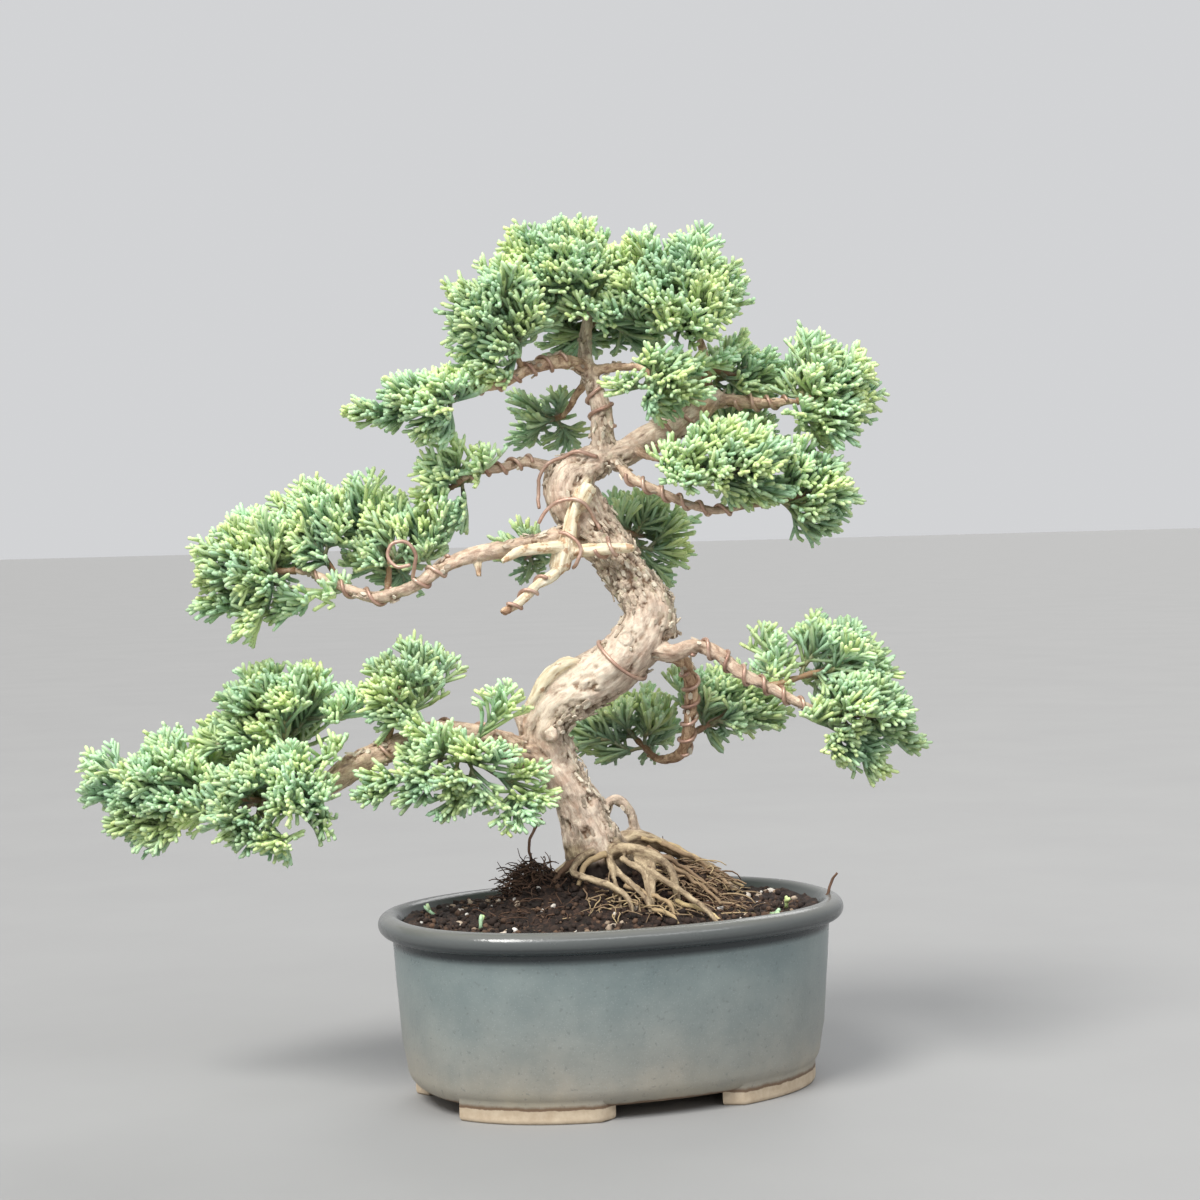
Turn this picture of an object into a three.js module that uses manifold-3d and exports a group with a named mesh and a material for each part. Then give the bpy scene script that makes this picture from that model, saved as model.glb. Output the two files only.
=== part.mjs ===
import * as THREE from "three";
import { mergeVertices } from "three/addons/utils/BufferGeometryUtils.js";
import Module from "manifold-3d";

// A kishu juniper bonsai in its oval glazed pot, about 300 mm tall. Millimetres, +Z up.
// The pot's long side lies along X. Places on the tree are [right, back, up] from the middle of
// the surface under the pot, as seen from the tree's front, and the pot is turned from that front.

const wasm = await Module();
wasm.setup();

// Driving dimensions of the pot.
const RIM_HALF_LENGTH = 80;
const RIM_HALF_WIDTH = 59.5;
const POT_HEIGHT = 62.5;
const OVAL_POWER = 2.25;
const FOOT_HEIGHT = 4.2;
const POT_FLOOR_TOP = 10.5;
const POT_SEGMENTS = 32;
const DRAIN_PLACE = 35;
const DRAIN_RADIUS = 7.5;
const DRAIN_SIDES = 16;
const WALL_CORNER_RADIUS = 8;
const RIM_ROLL_RADIUS = 3.7;
const FOOT_ANGLES = [23.5, 71.5];
const FOOT_INSETS = [10.5, 19.5];
const FOOT_ROUND_END = 0.07;

// Driving dimensions of the soil, the screens over the drain holes and their clips.
const SOIL_EDGE = 58.6;
const SOIL_RISE = 15.5;
const SOIL_SPREAD = 0.42;
// Humps on the soil, seen from the tree's front: a clod of peat to the left of the trunk, and
// the bank of soil and fine roots under the root that runs to the right.
const SOIL_HUMPS = [
  { middle: [-27, -10], reach: [11, 9], rise: 8 },
  { middle: [24, 8], reach: [17, 10], rise: 7.5 },
];
const SOIL_SEGMENTS = 20;
const SCREEN_SIZE = 24;
const SCREEN_THICKNESS = 1.1;
const SCREEN_PITCH = 5.6;
const SCREEN_MESH = 3.4;
const CLIP_RADIUS = 0.55;

// Neighbouring pieces stay this far apart, and a cord in a pad this far from the pad's others.
const GAP = 0.32;
const OWN_GAP = 0.35;

// A piece that has to come clear of others is moved out in steps of this size.
const NUDGE = 0.1;

// Corners that stand out less than this are left out of a fused solid.
const LEAST_CORNER = 0.06;

// How far the tree's front is turned from the pot's front, in radians.
const TREE_TURN = -0.398;

// Driving dimensions of the training wire, whose tube has this many sides.
const WIRE_RADIUS = 0.65;
const WIRE_SIDES = 3;
const WIRE_STEPS_PER_TURN = 6;

// Foliage: a pad's leader carries sprays, and both carry shoots. Radii are to a cord's corners.
const LEADER_ROOT_RADIUS = 0.2;
const LEADER_RADIUS = 1.8;
const LEADER_FIRST_RING = 2.5;
const LEADER_SPACING = 5.5;
const SPRAY_BASE_RADIUS = 1.4;
const SPRAY_SPACING = 4.4;
const SPRAY_SHARE = 13.5;
const SPRAY_BARE_SHARE = 0.2;
const LEADER_BARE_SHARE = 0.55;
const SHOOT_BASE_RADIUS = 1;
const SHOOT_TIP_RADIUS = 0.8;
const SHOOT_LENGTH = 11.5;
const SHOOT_LENGTH_AT_TIP = 0.61;
const SHOOT_LEAN = 58;
const SHOOT_LEAN_AT_TIP = 36;
const SHOOT_LEAN_SPREAD = 12;
const SHOOT_LENGTH_SPREAD = [0.8, 1.2];
const SHOOTS_PER_STRETCH = 2;
const RING_TWIST = 0.35;

// Past this share of its length a shoot keeps clear of the others on its own spray.
const ROOT_SHARE = 0.25;
const GOLDEN_ANGLE = Math.PI * (3 - Math.sqrt(5));

const RIM_OVERHANG = RIM_HALF_LENGTH - RIM_HALF_WIDTH;
const TOWARDS_VIEWER = new THREE.Vector3(0, -1, 0);

// Live wood, dead wood and roots: stations of [right, back, up, radius] along each limb.
const LIMBS = {
  trunk: {
    sides: 8,
    spacing: 5.2,
    relief: 0.07,
    stations: [
      [-3, 2, 48, 6],
      [-3, 2, 60, 11],
      [-3, 2, 71, 12],
      [-6, 1, 82, 9.8],
      [-9, 0, 91, 7.9],
      [-14, 0, 102, 7.2],
      [-19, 2, 112, 7.5],
      [-22, 3, 121, 8.7],
      [-18, 2, 129, 9.4],
      [-8, 0, 136, 9.3],
      [3, -2, 143, 9],
      [11, -4, 152, 8.8],
      [15, -4, 161, 8.4],
      [12, -3, 167, 8],
      [8, -2, 173, 7.6],
      [2, 0, 182, 8],
      [-5, 1, 190, 8.6],
      [-10, 1, 198, 9.4],
      [-11, 0, 205, 8.8],
      [-5, 0, 210.5, 6.2],
      [1, 0, 212, 4.8],
      [8, 1, 214, 4.6],
      [16, 3, 219, 4.9],
      [25, 5, 223, 4.8],
      [32, 6, 228, 4.6],
      [38, 7, 233, 4.2],
      [40, 7, 235, 2.8],
    ],
  },
  lower_left: {
    sides: 6,
    spacing: 8,
    relief: 0.09,
    stations: [
      [-20, 0, 109, 5],
      [-33, -6, 116, 5],
      [-46, -11, 121, 4.3],
      [-59, -14, 122, 4],
      [-73, -15, 117, 4.2],
      [-85, -15, 112, 4.4],
      [-96, -14, 105, 3.6],
      [-108, -13, 102, 2.8],
      [-122, -10, 101, 2],
      [-134, -8, 102, 0.6],
    ],
  },
  mid_left: {
    sides: 5,
    spacing: 7.5,
    relief: 0.08,
    stations: [
      [-4, 0, 190, 3.8],
      [-11, -4, 188, 3.6],
      [-21, -10, 185, 3.2],
      [-33, -14, 183, 3],
      [-44, -16, 181, 2.6],
      [-54, -18, 177, 2.3],
      [-64, -18, 171, 2.1],
      [-76, -16, 168, 2],
      [-86, -14, 171, 1.8],
      [-97, -12, 176, 1.5],
      [-106, -10, 178, 0.6],
    ],
  },
  upper_left: {
    sides: 4,
    spacing: 7,
    stations: [
      [-12, 1, 208, 2.6],
      [-18, 2, 210, 2.2],
      [-26, 2, 212, 1.8],
      [-34, -1, 210, 1.6],
      [-42, -3, 209, 1.5],
      [-50, -4, 205, 0.6],
    ],
  },
  stem: {
    sides: 6,
    spacing: 7,
    relief: 0.06,
    stations: [
      [1, 0, 210, 4.2],
      [0, 0, 220, 4],
      [0, 1, 229, 3.5],
      [-2, 2, 236, 3],
      [-4, 3, 242, 2.8],
      [-5, 4, 250, 2.3],
      [-4, 5, 259, 1.9],
      [-3, 5, 268, 0.6],
    ],
  },
  apex_left: {
    sides: 4,
    spacing: 8,
    stations: [
      [-4, 3, 243, 2.5],
      [-13, -3, 245, 2.3],
      [-23, -8, 243, 2.2],
      [-33, -11, 238, 1.8],
      [-43, -13, 236, 1.4],
      [-49, -14, 236, 0.6],
    ],
  },
  apex_front: {
    sides: 4,
    spacing: 7,
    stations: [
      [-3, 3, 242, 2],
      [6, -4, 243, 1.6],
      [13, -10, 242, 1.3],
      [17, -13, 240, 0.6],
    ],
  },
  back_drop: {
    sides: 4,
    spacing: 7,
    stations: [
      [-3, 3, 240, 1.6],
      [-8, 9, 235, 1.4],
      [-11, 14, 230, 1.2],
      [-14, 18, 227, 0.6],
    ],
  },
  top_right: {
    sides: 4,
    spacing: 8,
    stations: [
      [36, 7, 231, 2.8],
      [45, 5, 231, 2.2],
      [53, 3, 230, 2],
      [61, 1, 230, 1.6],
      [68, 0, 230, 0.6],
    ],
  },
  knot_up: {
    sides: 5,
    spacing: 8,
    stations: [
      [33, 6, 229, 2.6],
      [36, 9, 238, 2],
      [35, 9, 248, 1.7],
      [33, 6, 257, 0.6],
    ],
  },
  knot_back: {
    sides: 4,
    spacing: 7,
    stations: [
      [30, 6, 226, 2.2],
      [36, 13, 224, 1.7],
      [41, 19, 220, 0.6],
    ],
  },
  right_long: {
    sides: 4,
    spacing: 7.5,
    stations: [
      [2, 0, 213, 2],
      [6, -6, 209, 1.8],
      [10, -10, 205, 1.7],
      [16, -13, 202, 1.6],
      [22, -15, 199, 1.5],
      [29, -16, 196, 1.4],
      [37, -16, 194, 1.3],
      [47, -13, 195, 1.2],
      [56, -11, 196, 0.6],
    ],
  },
  right_short: {
    sides: 4,
    spacing: 7,
    stations: [
      [10, 1, 216, 1.8],
      [15, -6, 213, 1.4],
      [22, -13, 211, 1.2],
      [30, -17, 210, 0.6],
    ],
  },
  lower_right: {
    sides: 5,
    spacing: 7,
    relief: 0.06,
    stations: [
      [7, -4, 149, 4],
      [15, -7, 148, 3.4],
      [22, -8, 147, 3],
      [29, -9, 149, 2.5],
      [36, -10, 147, 2.3],
      [44, -12, 140, 2.1],
      [55, -13, 134, 1.9],
      [64, -14, 129, 1.6],
      [73, -14, 126, 0.6],
    ],
  },
  lower_back: {
    sides: 5,
    spacing: 7.5,
    stations: [
      [18, -6, 147, 2.8],
      [25, -1, 144, 2.5],
      [28, 4, 137, 2.3],
      [28, 8, 128, 2.2],
      [27, 13, 118, 2.2],
      [25, 19, 111, 2],
      [19, 27, 108, 1.6],
      [13, 33, 109, 0.6],
    ],
  },
  back_right: {
    sides: 4,
    spacing: 9,
    stations: [
      [1, 2, 182, 2.4],
      [3, 16, 186, 1.9],
      [7, 32, 187, 1.5],
      [10, 40, 187, 0.6],
    ],
  },
  back_left: {
    sides: 4,
    spacing: 9,
    stations: [
      [-6, 2, 191, 2.4],
      [-13, 18, 188, 1.9],
      [-22, 32, 184, 1.5],
      [-25, 38, 182, 0.6],
    ],
  },
  dead_front: {
    sides: 5,
    spacing: 7,
    relief: 0.1,
    stations: [
      [-6, -6, 205, 1.4],
      [-9, -9, 198, 2],
      [-11, -10.5, 190, 2.2],
      [-12, -11, 182, 2.4],
      [-16, -13, 175, 1.9],
      [-22, -16, 171, 1.6],
      [-28, -20, 166, 1.5],
      [-34, -23, 162, 1.1],
    ],
  },
  dead_cross: {
    sides: 4,
    spacing: 7,
    relief: 0.1,
    stations: [
      [-13, -10, 181, 2.2],
      [-4, -12, 182, 2],
      [4, -14, 182.5, 1.7],
      [10, -15, 182, 1.2],
    ],
  },
  dead_left: {
    sides: 4,
    spacing: 7,
    stations: [
      [-12, -11, 183, 2],
      [-20, -15.5, 183, 1.9],
      [-28, -19, 182, 1.6],
      [-34, -20, 179, 1],
    ],
  },
  bare_stub: {
    sides: 4,
    spacing: 8,
    stations: [
      [-42, -16, 181, 1.3],
      [-41.5, -17.5, 174, 0.8],
    ],
  },
  dead_flap: {
    sides: 5,
    spacing: 7,
    relief: 0.12,
    stations: [
      [-28, 0, 124, 1],
      [-25, -4, 132, 2],
      [-20, -5, 140, 2.2],
      [-14, -5, 144, 2],
      [-7, -4, 144, 1.2],
    ],
  },
  bark_spur: {
    sides: 4,
    spacing: 8,
    stations: [
      [-1.5, 3, 91, 1.6],
      [-4, 3, 98, 1.2],
      [-6, 2.5, 102.5, 0.6],
    ],
  },
  elbow_spur: {
    sides: 4,
    spacing: 6,
    stations: [
      [17, -4, 158, 2.4],
      [21.5, -4, 163, 1.5],
      [22.2, -4, 167, 0.8],
    ],
  },
  elbow_point: {
    sides: 4,
    spacing: 6,
    stations: [
      [14, -4, 155, 5],
      [21, -4, 153.8, 2.8],
      [25, -4, 153, 0.8],
    ],
  },
  knuckle: {
    sides: 5,
    spacing: 6,
    relief: 0.1,
    stations: [
      [-6, 3, 86, 2.4],
      [-2, 4, 94, 2],
      [2, 5, 97, 1.8],
      [6, 6, 93, 1.8],
      [8, 7, 86, 1.9],
      [9, 8, 77, 2.4],
    ],
  },
  root_front_arch: {
    sides: 5,
    spacing: 6,
    relief: 0.06,
    stations: [
      [-3, -4, 80, 2.6],
      [6, -11, 82, 1.9],
      [13, -15, 80.5, 1.6],
      [19, -17, 76, 1.5],
      [21, -19, 69, 1.3],
      [21, -20, 60, 0.9],
    ],
  },
  root_front_loop: {
    sides: 4,
    spacing: 5.5,
    stations: [
      [-4, -6, 81, 1.7],
      [-10, -12, 79.5, 1.4],
      [-13, -16, 75.5, 1.2],
      [-8, -20, 73.5, 1.2],
      [-1, -23, 71.5, 1.2],
      [5, -27, 67.5, 1.1],
      [7, -29, 60, 0.7],
    ],
  },
  root_front_middle: {
    sides: 4,
    spacing: 6.5,
    stations: [
      [-2, -7, 79, 1.6],
      [1, -15, 75.5, 1.3],
      [5, -20, 72.5, 1.1],
      [11, -25, 67, 1],
      [13, -28, 60, 0.7],
    ],
  },
  root_front_right: {
    sides: 4,
    spacing: 8,
    stations: [
      [8, -12, 79, 1.3],
      [15, -20, 74, 1.2],
      [24, -27, 68.5, 1.1],
      [31, -33, 63.5, 1],
      [36, -37, 57, 0.6],
    ],
  },
  root_front_inner: {
    sides: 4,
    spacing: 7,
    stations: [
      [-1, -11, 79.5, 1.2],
      [-0.5, -16, 77, 1],
      [0.8, -20.5, 72.5, 0.9],
      [2.5, -24, 66, 0.7],
      [3, -25, 61, 0.6],
    ],
  },
  root_front_hook: {
    sides: 4,
    spacing: 6,
    stations: [
      [3, -12, 79, 1.2],
      [7, -15.5, 76.8, 1],
      [10, -17.5, 75, 1],
      [11.3, -20, 70.5, 0.9],
      [11.8, -23, 65, 0.8],
      [12, -24, 60, 0.6],
    ],
  },
  root_front_pillar: {
    sides: 4,
    spacing: 8,
    stations: [
      [13, -14.5, 79.5, 1.2],
      [13.3, -18, 74, 1.2],
      [13.2, -22, 69, 1],
      [13, -25, 61, 0.7],
    ],
  },
  root_right_ridge: {
    sides: 5,
    spacing: 8,
    relief: 0.06,
    stations: [
      [-1, 3, 82, 3.2],
      [9, 6, 83.5, 2.6],
      [17, 9, 80.5, 2.2],
      [26, 13, 75.5, 2],
      [35, 18, 70, 1.7],
      [44, 22, 61, 1],
    ],
  },
  root_left: {
    sides: 5,
    spacing: 9,
    stations: [
      [-8, 1, 76, 4],
      [-18, -3, 72, 2.8],
      [-28, -8, 66.5, 2],
      [-38, -12, 58, 1.1],
    ],
  },
  root_back: {
    sides: 5,
    spacing: 9,
    stations: [
      [-3, 8, 77, 3.6],
      [-8, 18, 72, 2.4],
      [-12, 27, 65.5, 1.6],
      [-15, 34, 57, 0.9],
    ],
  },
  buried_left: {
    sides: 4,
    spacing: 14,
    stations: [
      [-6, 2, 62, 4.5],
      [-22, 8, 50, 2.6],
      [-38, 6, 36, 1.3],
    ],
  },
  buried_right: {
    sides: 4,
    spacing: 14,
    stations: [
      [0, 0, 62, 4.5],
      [18, -8, 48, 2.6],
      [36, -8, 34, 1.3],
    ],
  },
};

// Training wires: the limb each is wound on, from and to as fractions of its length, and turns.
// A tail is the wire's free end, bent by hand to the points it lists. A wire that only lies
// along its limb lists its places instead.
const WIRES = [
  { name: "wire_trunk_band", on: "trunk", from: 0.425, to: 0.452, turns: 1.3, start: 2.2 },
  {
    name: "wire_upper_bend",
    on: "trunk",
    laid: [
      [-1, -6, 213],
      [-4, -6, 214],
      [-8, -6, 215],
      [-12, -5, 215],
      [-15.5, -4, 213],
      [-18.5, -3, 211],
      [-21, -2, 207.5],
      [-22, -1, 203.5],
      [-22, -1, 199.5],
      [-21.5, -2, 195.5],
    ],
  },
  {
    name: "wire_front_arc",
    on: "trunk",
    laid: [
      [-22, -9, 190.5],
      [-20.5, -9, 193.5],
      [-18, -9, 196.5],
      [-14.5, -11, 198.5],
      [-10.5, -12, 199.5],
      [-7, -12, 198],
      [-4.5, -10, 195],
      [-2.5, -8, 191.5],
      [-0.5, -8, 188.5],
    ],
  },
  {
    name: "wire_jin_band",
    on: "dead_front",
    laid: [
      [-15.5, -12, 188.5],
      [-12.5, -13, 187.5],
      [-10, -14, 186],
      [-8, -15, 183.5],
      [-8, -15, 180.5],
      [-9.5, -14, 177.5],
      [-10, -11, 175.5],
    ],
  },
  { name: "wire_jin_cross", on: "dead_cross", from: 0.45, to: 0.75, turns: 1.3, start: 0 },
  { name: "wire_jin_tip", on: "dead_front", from: 0.66, to: 0.95, turns: 2.2, start: 0 },
  { name: "wire_right_arm", on: "trunk", from: 0.88, to: 0.94, turns: 2, start: 0.6 },
  { name: "wire_lower_left", on: "lower_left", from: 0.22, to: 0.5, turns: 3, start: 1.2 },
  {
    name: "wire_mid_left_inner",
    on: "mid_left",
    from: 0.46,
    to: 0.58,
    turns: 2,
    start: 1,
    tail: [
      [-62.5, -22, 178],
      [-62, -22.5, 182],
      [-65, -23, 186],
      [-69.5, -23.5, 185.5],
      [-71, -24, 181.5],
      [-68, -25, 178],
      [-63.5, -26, 178.5],
    ],
  },
  { name: "wire_mid_left_outer", on: "mid_left", from: 0.66, to: 0.93, turns: 3, start: 2 },
  { name: "wire_upper_left", on: "upper_left", from: 0.3, to: 0.86, turns: 4, start: 0 },
  { name: "wire_stem", on: "stem", from: 0.22, to: 0.44, turns: 2, start: 1 },
  { name: "wire_apex_left", on: "apex_left", from: 0.2, to: 0.85, turns: 5, start: 0 },
  { name: "wire_top_right", on: "top_right", from: 0.3, to: 0.85, turns: 3, start: 0 },
  { name: "wire_right_long", on: "right_long", from: 0.2, to: 0.85, turns: 6, start: 0 },
  { name: "wire_lower_right", on: "lower_right", from: 0.3, to: 0.9, turns: 6, start: 1 },
  { name: "wire_lower_back", on: "lower_back", from: 0.2, to: 0.7, turns: 5, start: 0 },
];

// Foliage pads: the limb each grows from and where on it, its middle and its half sizes.
const PADS = [
  { name: "pad_low_left_tip", on: "lower_left", at: 0.97, centre: [-154, -6, 105], reach: [22, 18, 22] },
  { name: "pad_low_left_top", on: "lower_left", at: 0.8, centre: [-116, -2, 131], reach: [25, 18, 19] },
  { name: "pad_low_left_front", on: "lower_left", at: 0.84, centre: [-116, -26, 102], reach: [27, 16, 20] },
  { name: "pad_low_left_back", on: "lower_left", at: 0.72, centre: [-124, 20, 117], reach: [29, 20, 19] },
  { name: "pad_low_left_crest", on: "lower_left", at: 0.5, centre: [-66, -18, 139], reach: [16, 15, 16] },
  { name: "pad_low_left_hanging", on: "lower_left", at: 0.33, centre: [-48, -33, 114], reach: [29, 17, 20] },
  { name: "pad_mid_left_tip", on: "mid_left", at: 0.97, centre: [-121, -8, 180], reach: [20, 17, 22] },
  { name: "pad_mid_left_top", on: "mid_left", at: 0.82, centre: [-98, 4, 197], reach: [28, 20, 17] },
  { name: "pad_mid_left_inner", on: "mid_left", at: 0.68, centre: [-71, 2, 186], reach: [21, 16, 18] },
  { name: "pad_mid_left_sprig", on: "upper_left", at: 0.93, centre: [-56, -5, 208], reach: [14, 12, 15] },
  { name: "pad_apex_far_left", on: "apex_left", at: 0.96, centre: [-59, -14, 239], reach: [24, 15, 14] },
  { name: "pad_apex_left", on: "apex_left", at: 0.5, centre: [-33, -16, 261], reach: [20, 17, 18] },
  { name: "pad_apex_top", on: "stem", at: 0.96, centre: [-15, -3, 277], reach: [24, 19, 21] },
  { name: "pad_apex_right", on: "knot_up", at: 0.93, centre: [24, -5, 268], reach: [26, 19, 21] },
  { name: "pad_apex_back", on: "stem", at: 0.8, centre: [2, 30, 264], reach: [31, 20, 22] },
  { name: "pad_apex_front", on: "apex_front", at: 0.9, centre: [19, -18, 236], reach: [15, 12, 14] },
  { name: "pad_back_drop", on: "back_drop", at: 0.92, centre: [-19, 24, 226], reach: [15, 14, 12] },
  { name: "pad_knot_right", on: "knot_up", at: 0.5, centre: [50, 20, 246], reach: [17, 15, 14] },
  { name: "pad_top_right", on: "top_right", at: 0.93, centre: [77, 0, 230], reach: [17, 16, 21] },
  { name: "pad_right_front", on: "right_short", at: 0.92, centre: [43, -22, 211], reach: [27, 14, 16] },
  { name: "pad_right_low", on: "right_long", at: 0.94, centre: [71, -8, 199], reach: [16, 15, 17] },
  { name: "pad_right_back", on: "knot_back", at: 0.9, centre: [50, 28, 216], reach: [18, 16, 17] },
  { name: "pad_back_right", on: "back_right", at: 0.93, centre: [16, 50, 186], reach: [18, 16, 17] },
  { name: "pad_back_left", on: "back_left", at: 0.93, centre: [-29, 46, 179], reach: [14, 15, 20] },
  { name: "pad_low_right_top", on: "lower_right", at: 0.7, centre: [72, -2, 147], reach: [27, 17, 17] },
  { name: "pad_low_right_tip", on: "lower_right", at: 0.95, centre: [84, -17, 124], reach: [24, 17, 19] },
  { name: "pad_low_back_left", on: "lower_back", at: 0.93, centre: [7, 38, 120], reach: [20, 18, 15] },
  { name: "pad_low_back_right", on: "lower_back", at: 0.6, centre: [44, 22, 122], reach: [22, 16, 16] },
];

function vectorOf([right, back, up]) {
  return new THREE.Vector3(right, back, up);
}

// Random numbers from 0 to 1, the same for the same seed.
function seededRandom(seed) {
  let state = seed;
  return () => {
    state = (state * 16807) % 2147483647;
    return state / 2147483647;
  };
}

function solidOf(geometry) {
  const bare = geometry.clone();
  bare.deleteAttribute("normal");
  bare.deleteAttribute("uv");
  const merged = mergeVertices(bare, 1e-4);
  const triVerts = new Uint32Array(merged.index.array);
  const vertProperties = merged.attributes.position.array;
  return new wasm.Manifold(new wasm.Mesh({ numProp: 3, vertProperties, triVerts }));
}

function fuse(solids) {
  return solids.reduce((whole, solid) => whole.add(solid));
}

// The biggest separate body of a solid, without corners that hardly stand out: loose scraps
// left by a cut are dropped.
function mainBody(solid) {
  const bodies = solid.decompose();
  const biggest = bodies.reduce((best, body) => (body.volume() > best.volume() ? body : best));
  return biggest.simplify(LEAST_CORNER);
}

function geometryOf(solid) {
  const { vertProperties, triVerts } = solid.getMesh();
  const geometry = new THREE.BufferGeometry();
  geometry.setAttribute("position", new THREE.BufferAttribute(vertProperties, 3));
  geometry.setIndex(new THREE.BufferAttribute(triVerts, 1));
  const flat = geometry.toNonIndexed();
  flat.computeVertexNormals();
  return flat;
}

function meshOf(name, solid, material) {
  const mesh = new THREE.Mesh(geometryOf(solid), material);
  mesh.name = name;
  return mesh;
}

function regularSection(sides, radius) {
  const section = new THREE.Shape();
  for (let side = 0; side < sides; side++) {
    const angle = (side / sides) * 2 * Math.PI;
    const corner = [radius * Math.cos(angle), radius * Math.sin(angle)];
    if (side === 0) section.moveTo(...corner);
    else section.lineTo(...corner);
  }
  section.closePath();
  return section;
}

// A limb's centre line with its radius at each station.
function routeOf({ stations, relief = 0 }) {
  const curve = new THREE.CatmullRomCurve3(stations.map(vectorOf));
  return { curve, relief, radii: stations.map((station) => station[3]) };
}

// Knobbly bark makes the radius swell and shrink by a smooth wave along the limb.
function radiusAt(route, fraction) {
  const place = route.curve.getUtoTmapping(fraction) * (route.radii.length - 1);
  const before = Math.min(Math.floor(place), route.radii.length - 2);
  const smooth = THREE.MathUtils.lerp(route.radii[before], route.radii[before + 1], place - before);
  const knobs = Math.sin(1.7 * place) * Math.cos(3.1 * place);
  return smooth * (1 + route.relief * knobs);
}

// A tube whose rings follow the route's radii. The section is first drawn very thin, so that
// the nearest point of the centre line is the middle of the vertex's own ring.
function limbSolid(route, { sides, spacing, swell = 0 }) {
  const drawnRadius = 0.1;
  const steps = Math.max(2, Math.round(route.curve.getLength() / spacing));
  const geometry = new THREE.ExtrudeGeometry(regularSection(sides, drawnRadius), {
    steps,
    bevelEnabled: false,
    extrudePath: route.curve,
  });
  const centres = route.curve.getSpacedPoints(steps);
  const position = geometry.attributes.position;
  const vertex = new THREE.Vector3();
  for (let index = 0; index < position.count; index++) {
    vertex.fromBufferAttribute(position, index);
    const distances = centres.map((centre) => centre.distanceTo(vertex));
    const ring = distances.indexOf(Math.min(...distances));
    const radius = radiusAt(route, ring / steps) + swell;
    vertex.sub(centres[ring]).multiplyScalar(radius / drawnRadius).add(centres[ring]);
    position.setXYZ(index, vertex.x, vertex.y, vertex.z);
  }
  return solidOf(geometry);
}

// A bone is a straight stretch of its owner with a radius at each end. Bones stand for the
// pieces when a new one is grown, so that it can keep clear of all but its own.
function boneOf(start, end, startRadius, endRadius, owner) {
  return { line: new THREE.Line3(start.clone(), end.clone()), startRadius, endRadius, owner };
}

// A limb ends flat, so its last bone, whose end is round, stops short by its radius.
function bonesOf(route, spacing) {
  const steps = Math.max(2, Math.round(route.curve.getLength() / spacing));
  const centres = route.curve.getSpacedPoints(steps);
  centres[steps].addScaledVector(route.curve.getTangentAt(1), -radiusAt(route, 1));
  const bones = [];
  for (let step = 0; step < steps; step++) {
    const radii = [radiusAt(route, step / steps), radiusAt(route, (step + 1) / steps)];
    bones.push(boneOf(centres[step], centres[step + 1], ...radii, "wood"));
  }
  return bones;
}

function boneRadius(bone, point) {
  const along = bone.line.start.distanceTo(point) / bone.line.distance();
  return THREE.MathUtils.lerp(bone.startRadius, bone.endRadius, along);
}

function gapBetween(bone, other) {
  const here = new THREE.Vector3();
  const there = new THREE.Vector3();
  const apart = Math.sqrt(bone.line.distanceSqToLine3(other.line, here, there));
  return apart - boneRadius(bone, here) - boneRadius(other, there);
}

function isClear(bone, others) {
  return others.every((other) => other.owner === bone.owner || gapBetween(bone, other) >= GAP);
}

// The pot. Its outline is an oval whose corners are a little fuller than an ellipse's.
function ovalPoint(halfLength, angle) {
  const floorReach = 64;
  const wide = halfLength - RIM_OVERHANG;
  const narrow = (halfLength * (floorReach - RIM_OVERHANG)) / floorReach;
  const halfWidth = halfLength > floorReach ? wide : narrow;
  const cos = Math.cos(angle);
  const sin = Math.sin(angle);
  const power = 2 / OVAL_POWER;
  const x = halfLength * Math.sign(cos) * Math.abs(cos) ** power;
  const y = halfWidth * Math.sign(sin) * Math.abs(sin) ** power;
  return [x, y];
}

// A turned profile of [inset from the rim, height], pressed into the pot's oval.
function ovalSolid(profile, segments, shape = (x, y, z) => z) {
  const outline = profile.map(([inset, height]) => new THREE.Vector2(RIM_HALF_LENGTH - inset, height));
  const geometry = new THREE.LatheGeometry(outline, segments);
  geometry.rotateX(Math.PI / 2);
  const position = geometry.attributes.position;
  for (let index = 0; index < position.count; index++) {
    const x = position.getX(index);
    const y = position.getY(index);
    const z = position.getZ(index);
    const [ovalX, ovalY] = ovalPoint(Math.hypot(x, y), Math.atan2(y, x));
    position.setXYZ(index, ovalX, ovalY, shape(ovalX, ovalY, z));
  }
  return solidOf(geometry);
}

function arcPoints(inset, height, radius, fromDegrees, toDegrees, count) {
  const points = [];
  for (let index = 0; index <= count; index++) {
    const angle = THREE.MathUtils.degToRad(THREE.MathUtils.lerp(fromDegrees, toDegrees, index / count));
    points.push([inset + radius * Math.cos(angle), height + radius * Math.sin(angle)]);
  }
  return points;
}

// The hollow of the pot, from its middle to its lip. The soil follows the same line, drawn in.
function innerProfile(drawnIn) {
  const wallFoot = [12.6, 20];
  const wallTop = [10, 54];
  const wide = WALL_CORNER_RADIUS;
  const narrow = 0.3 * WALL_CORNER_RADIUS;
  return [
    [RIM_HALF_LENGTH, POT_FLOOR_TOP + drawnIn],
    [wallFoot[0] + wide + drawnIn, POT_FLOOR_TOP + drawnIn],
    [wallFoot[0] + narrow + drawnIn, POT_FLOOR_TOP + narrow + drawnIn],
    [wallFoot[0] + drawnIn, wallFoot[1]],
    [wallTop[0] + drawnIn, wallTop[1]],
  ];
}

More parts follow.
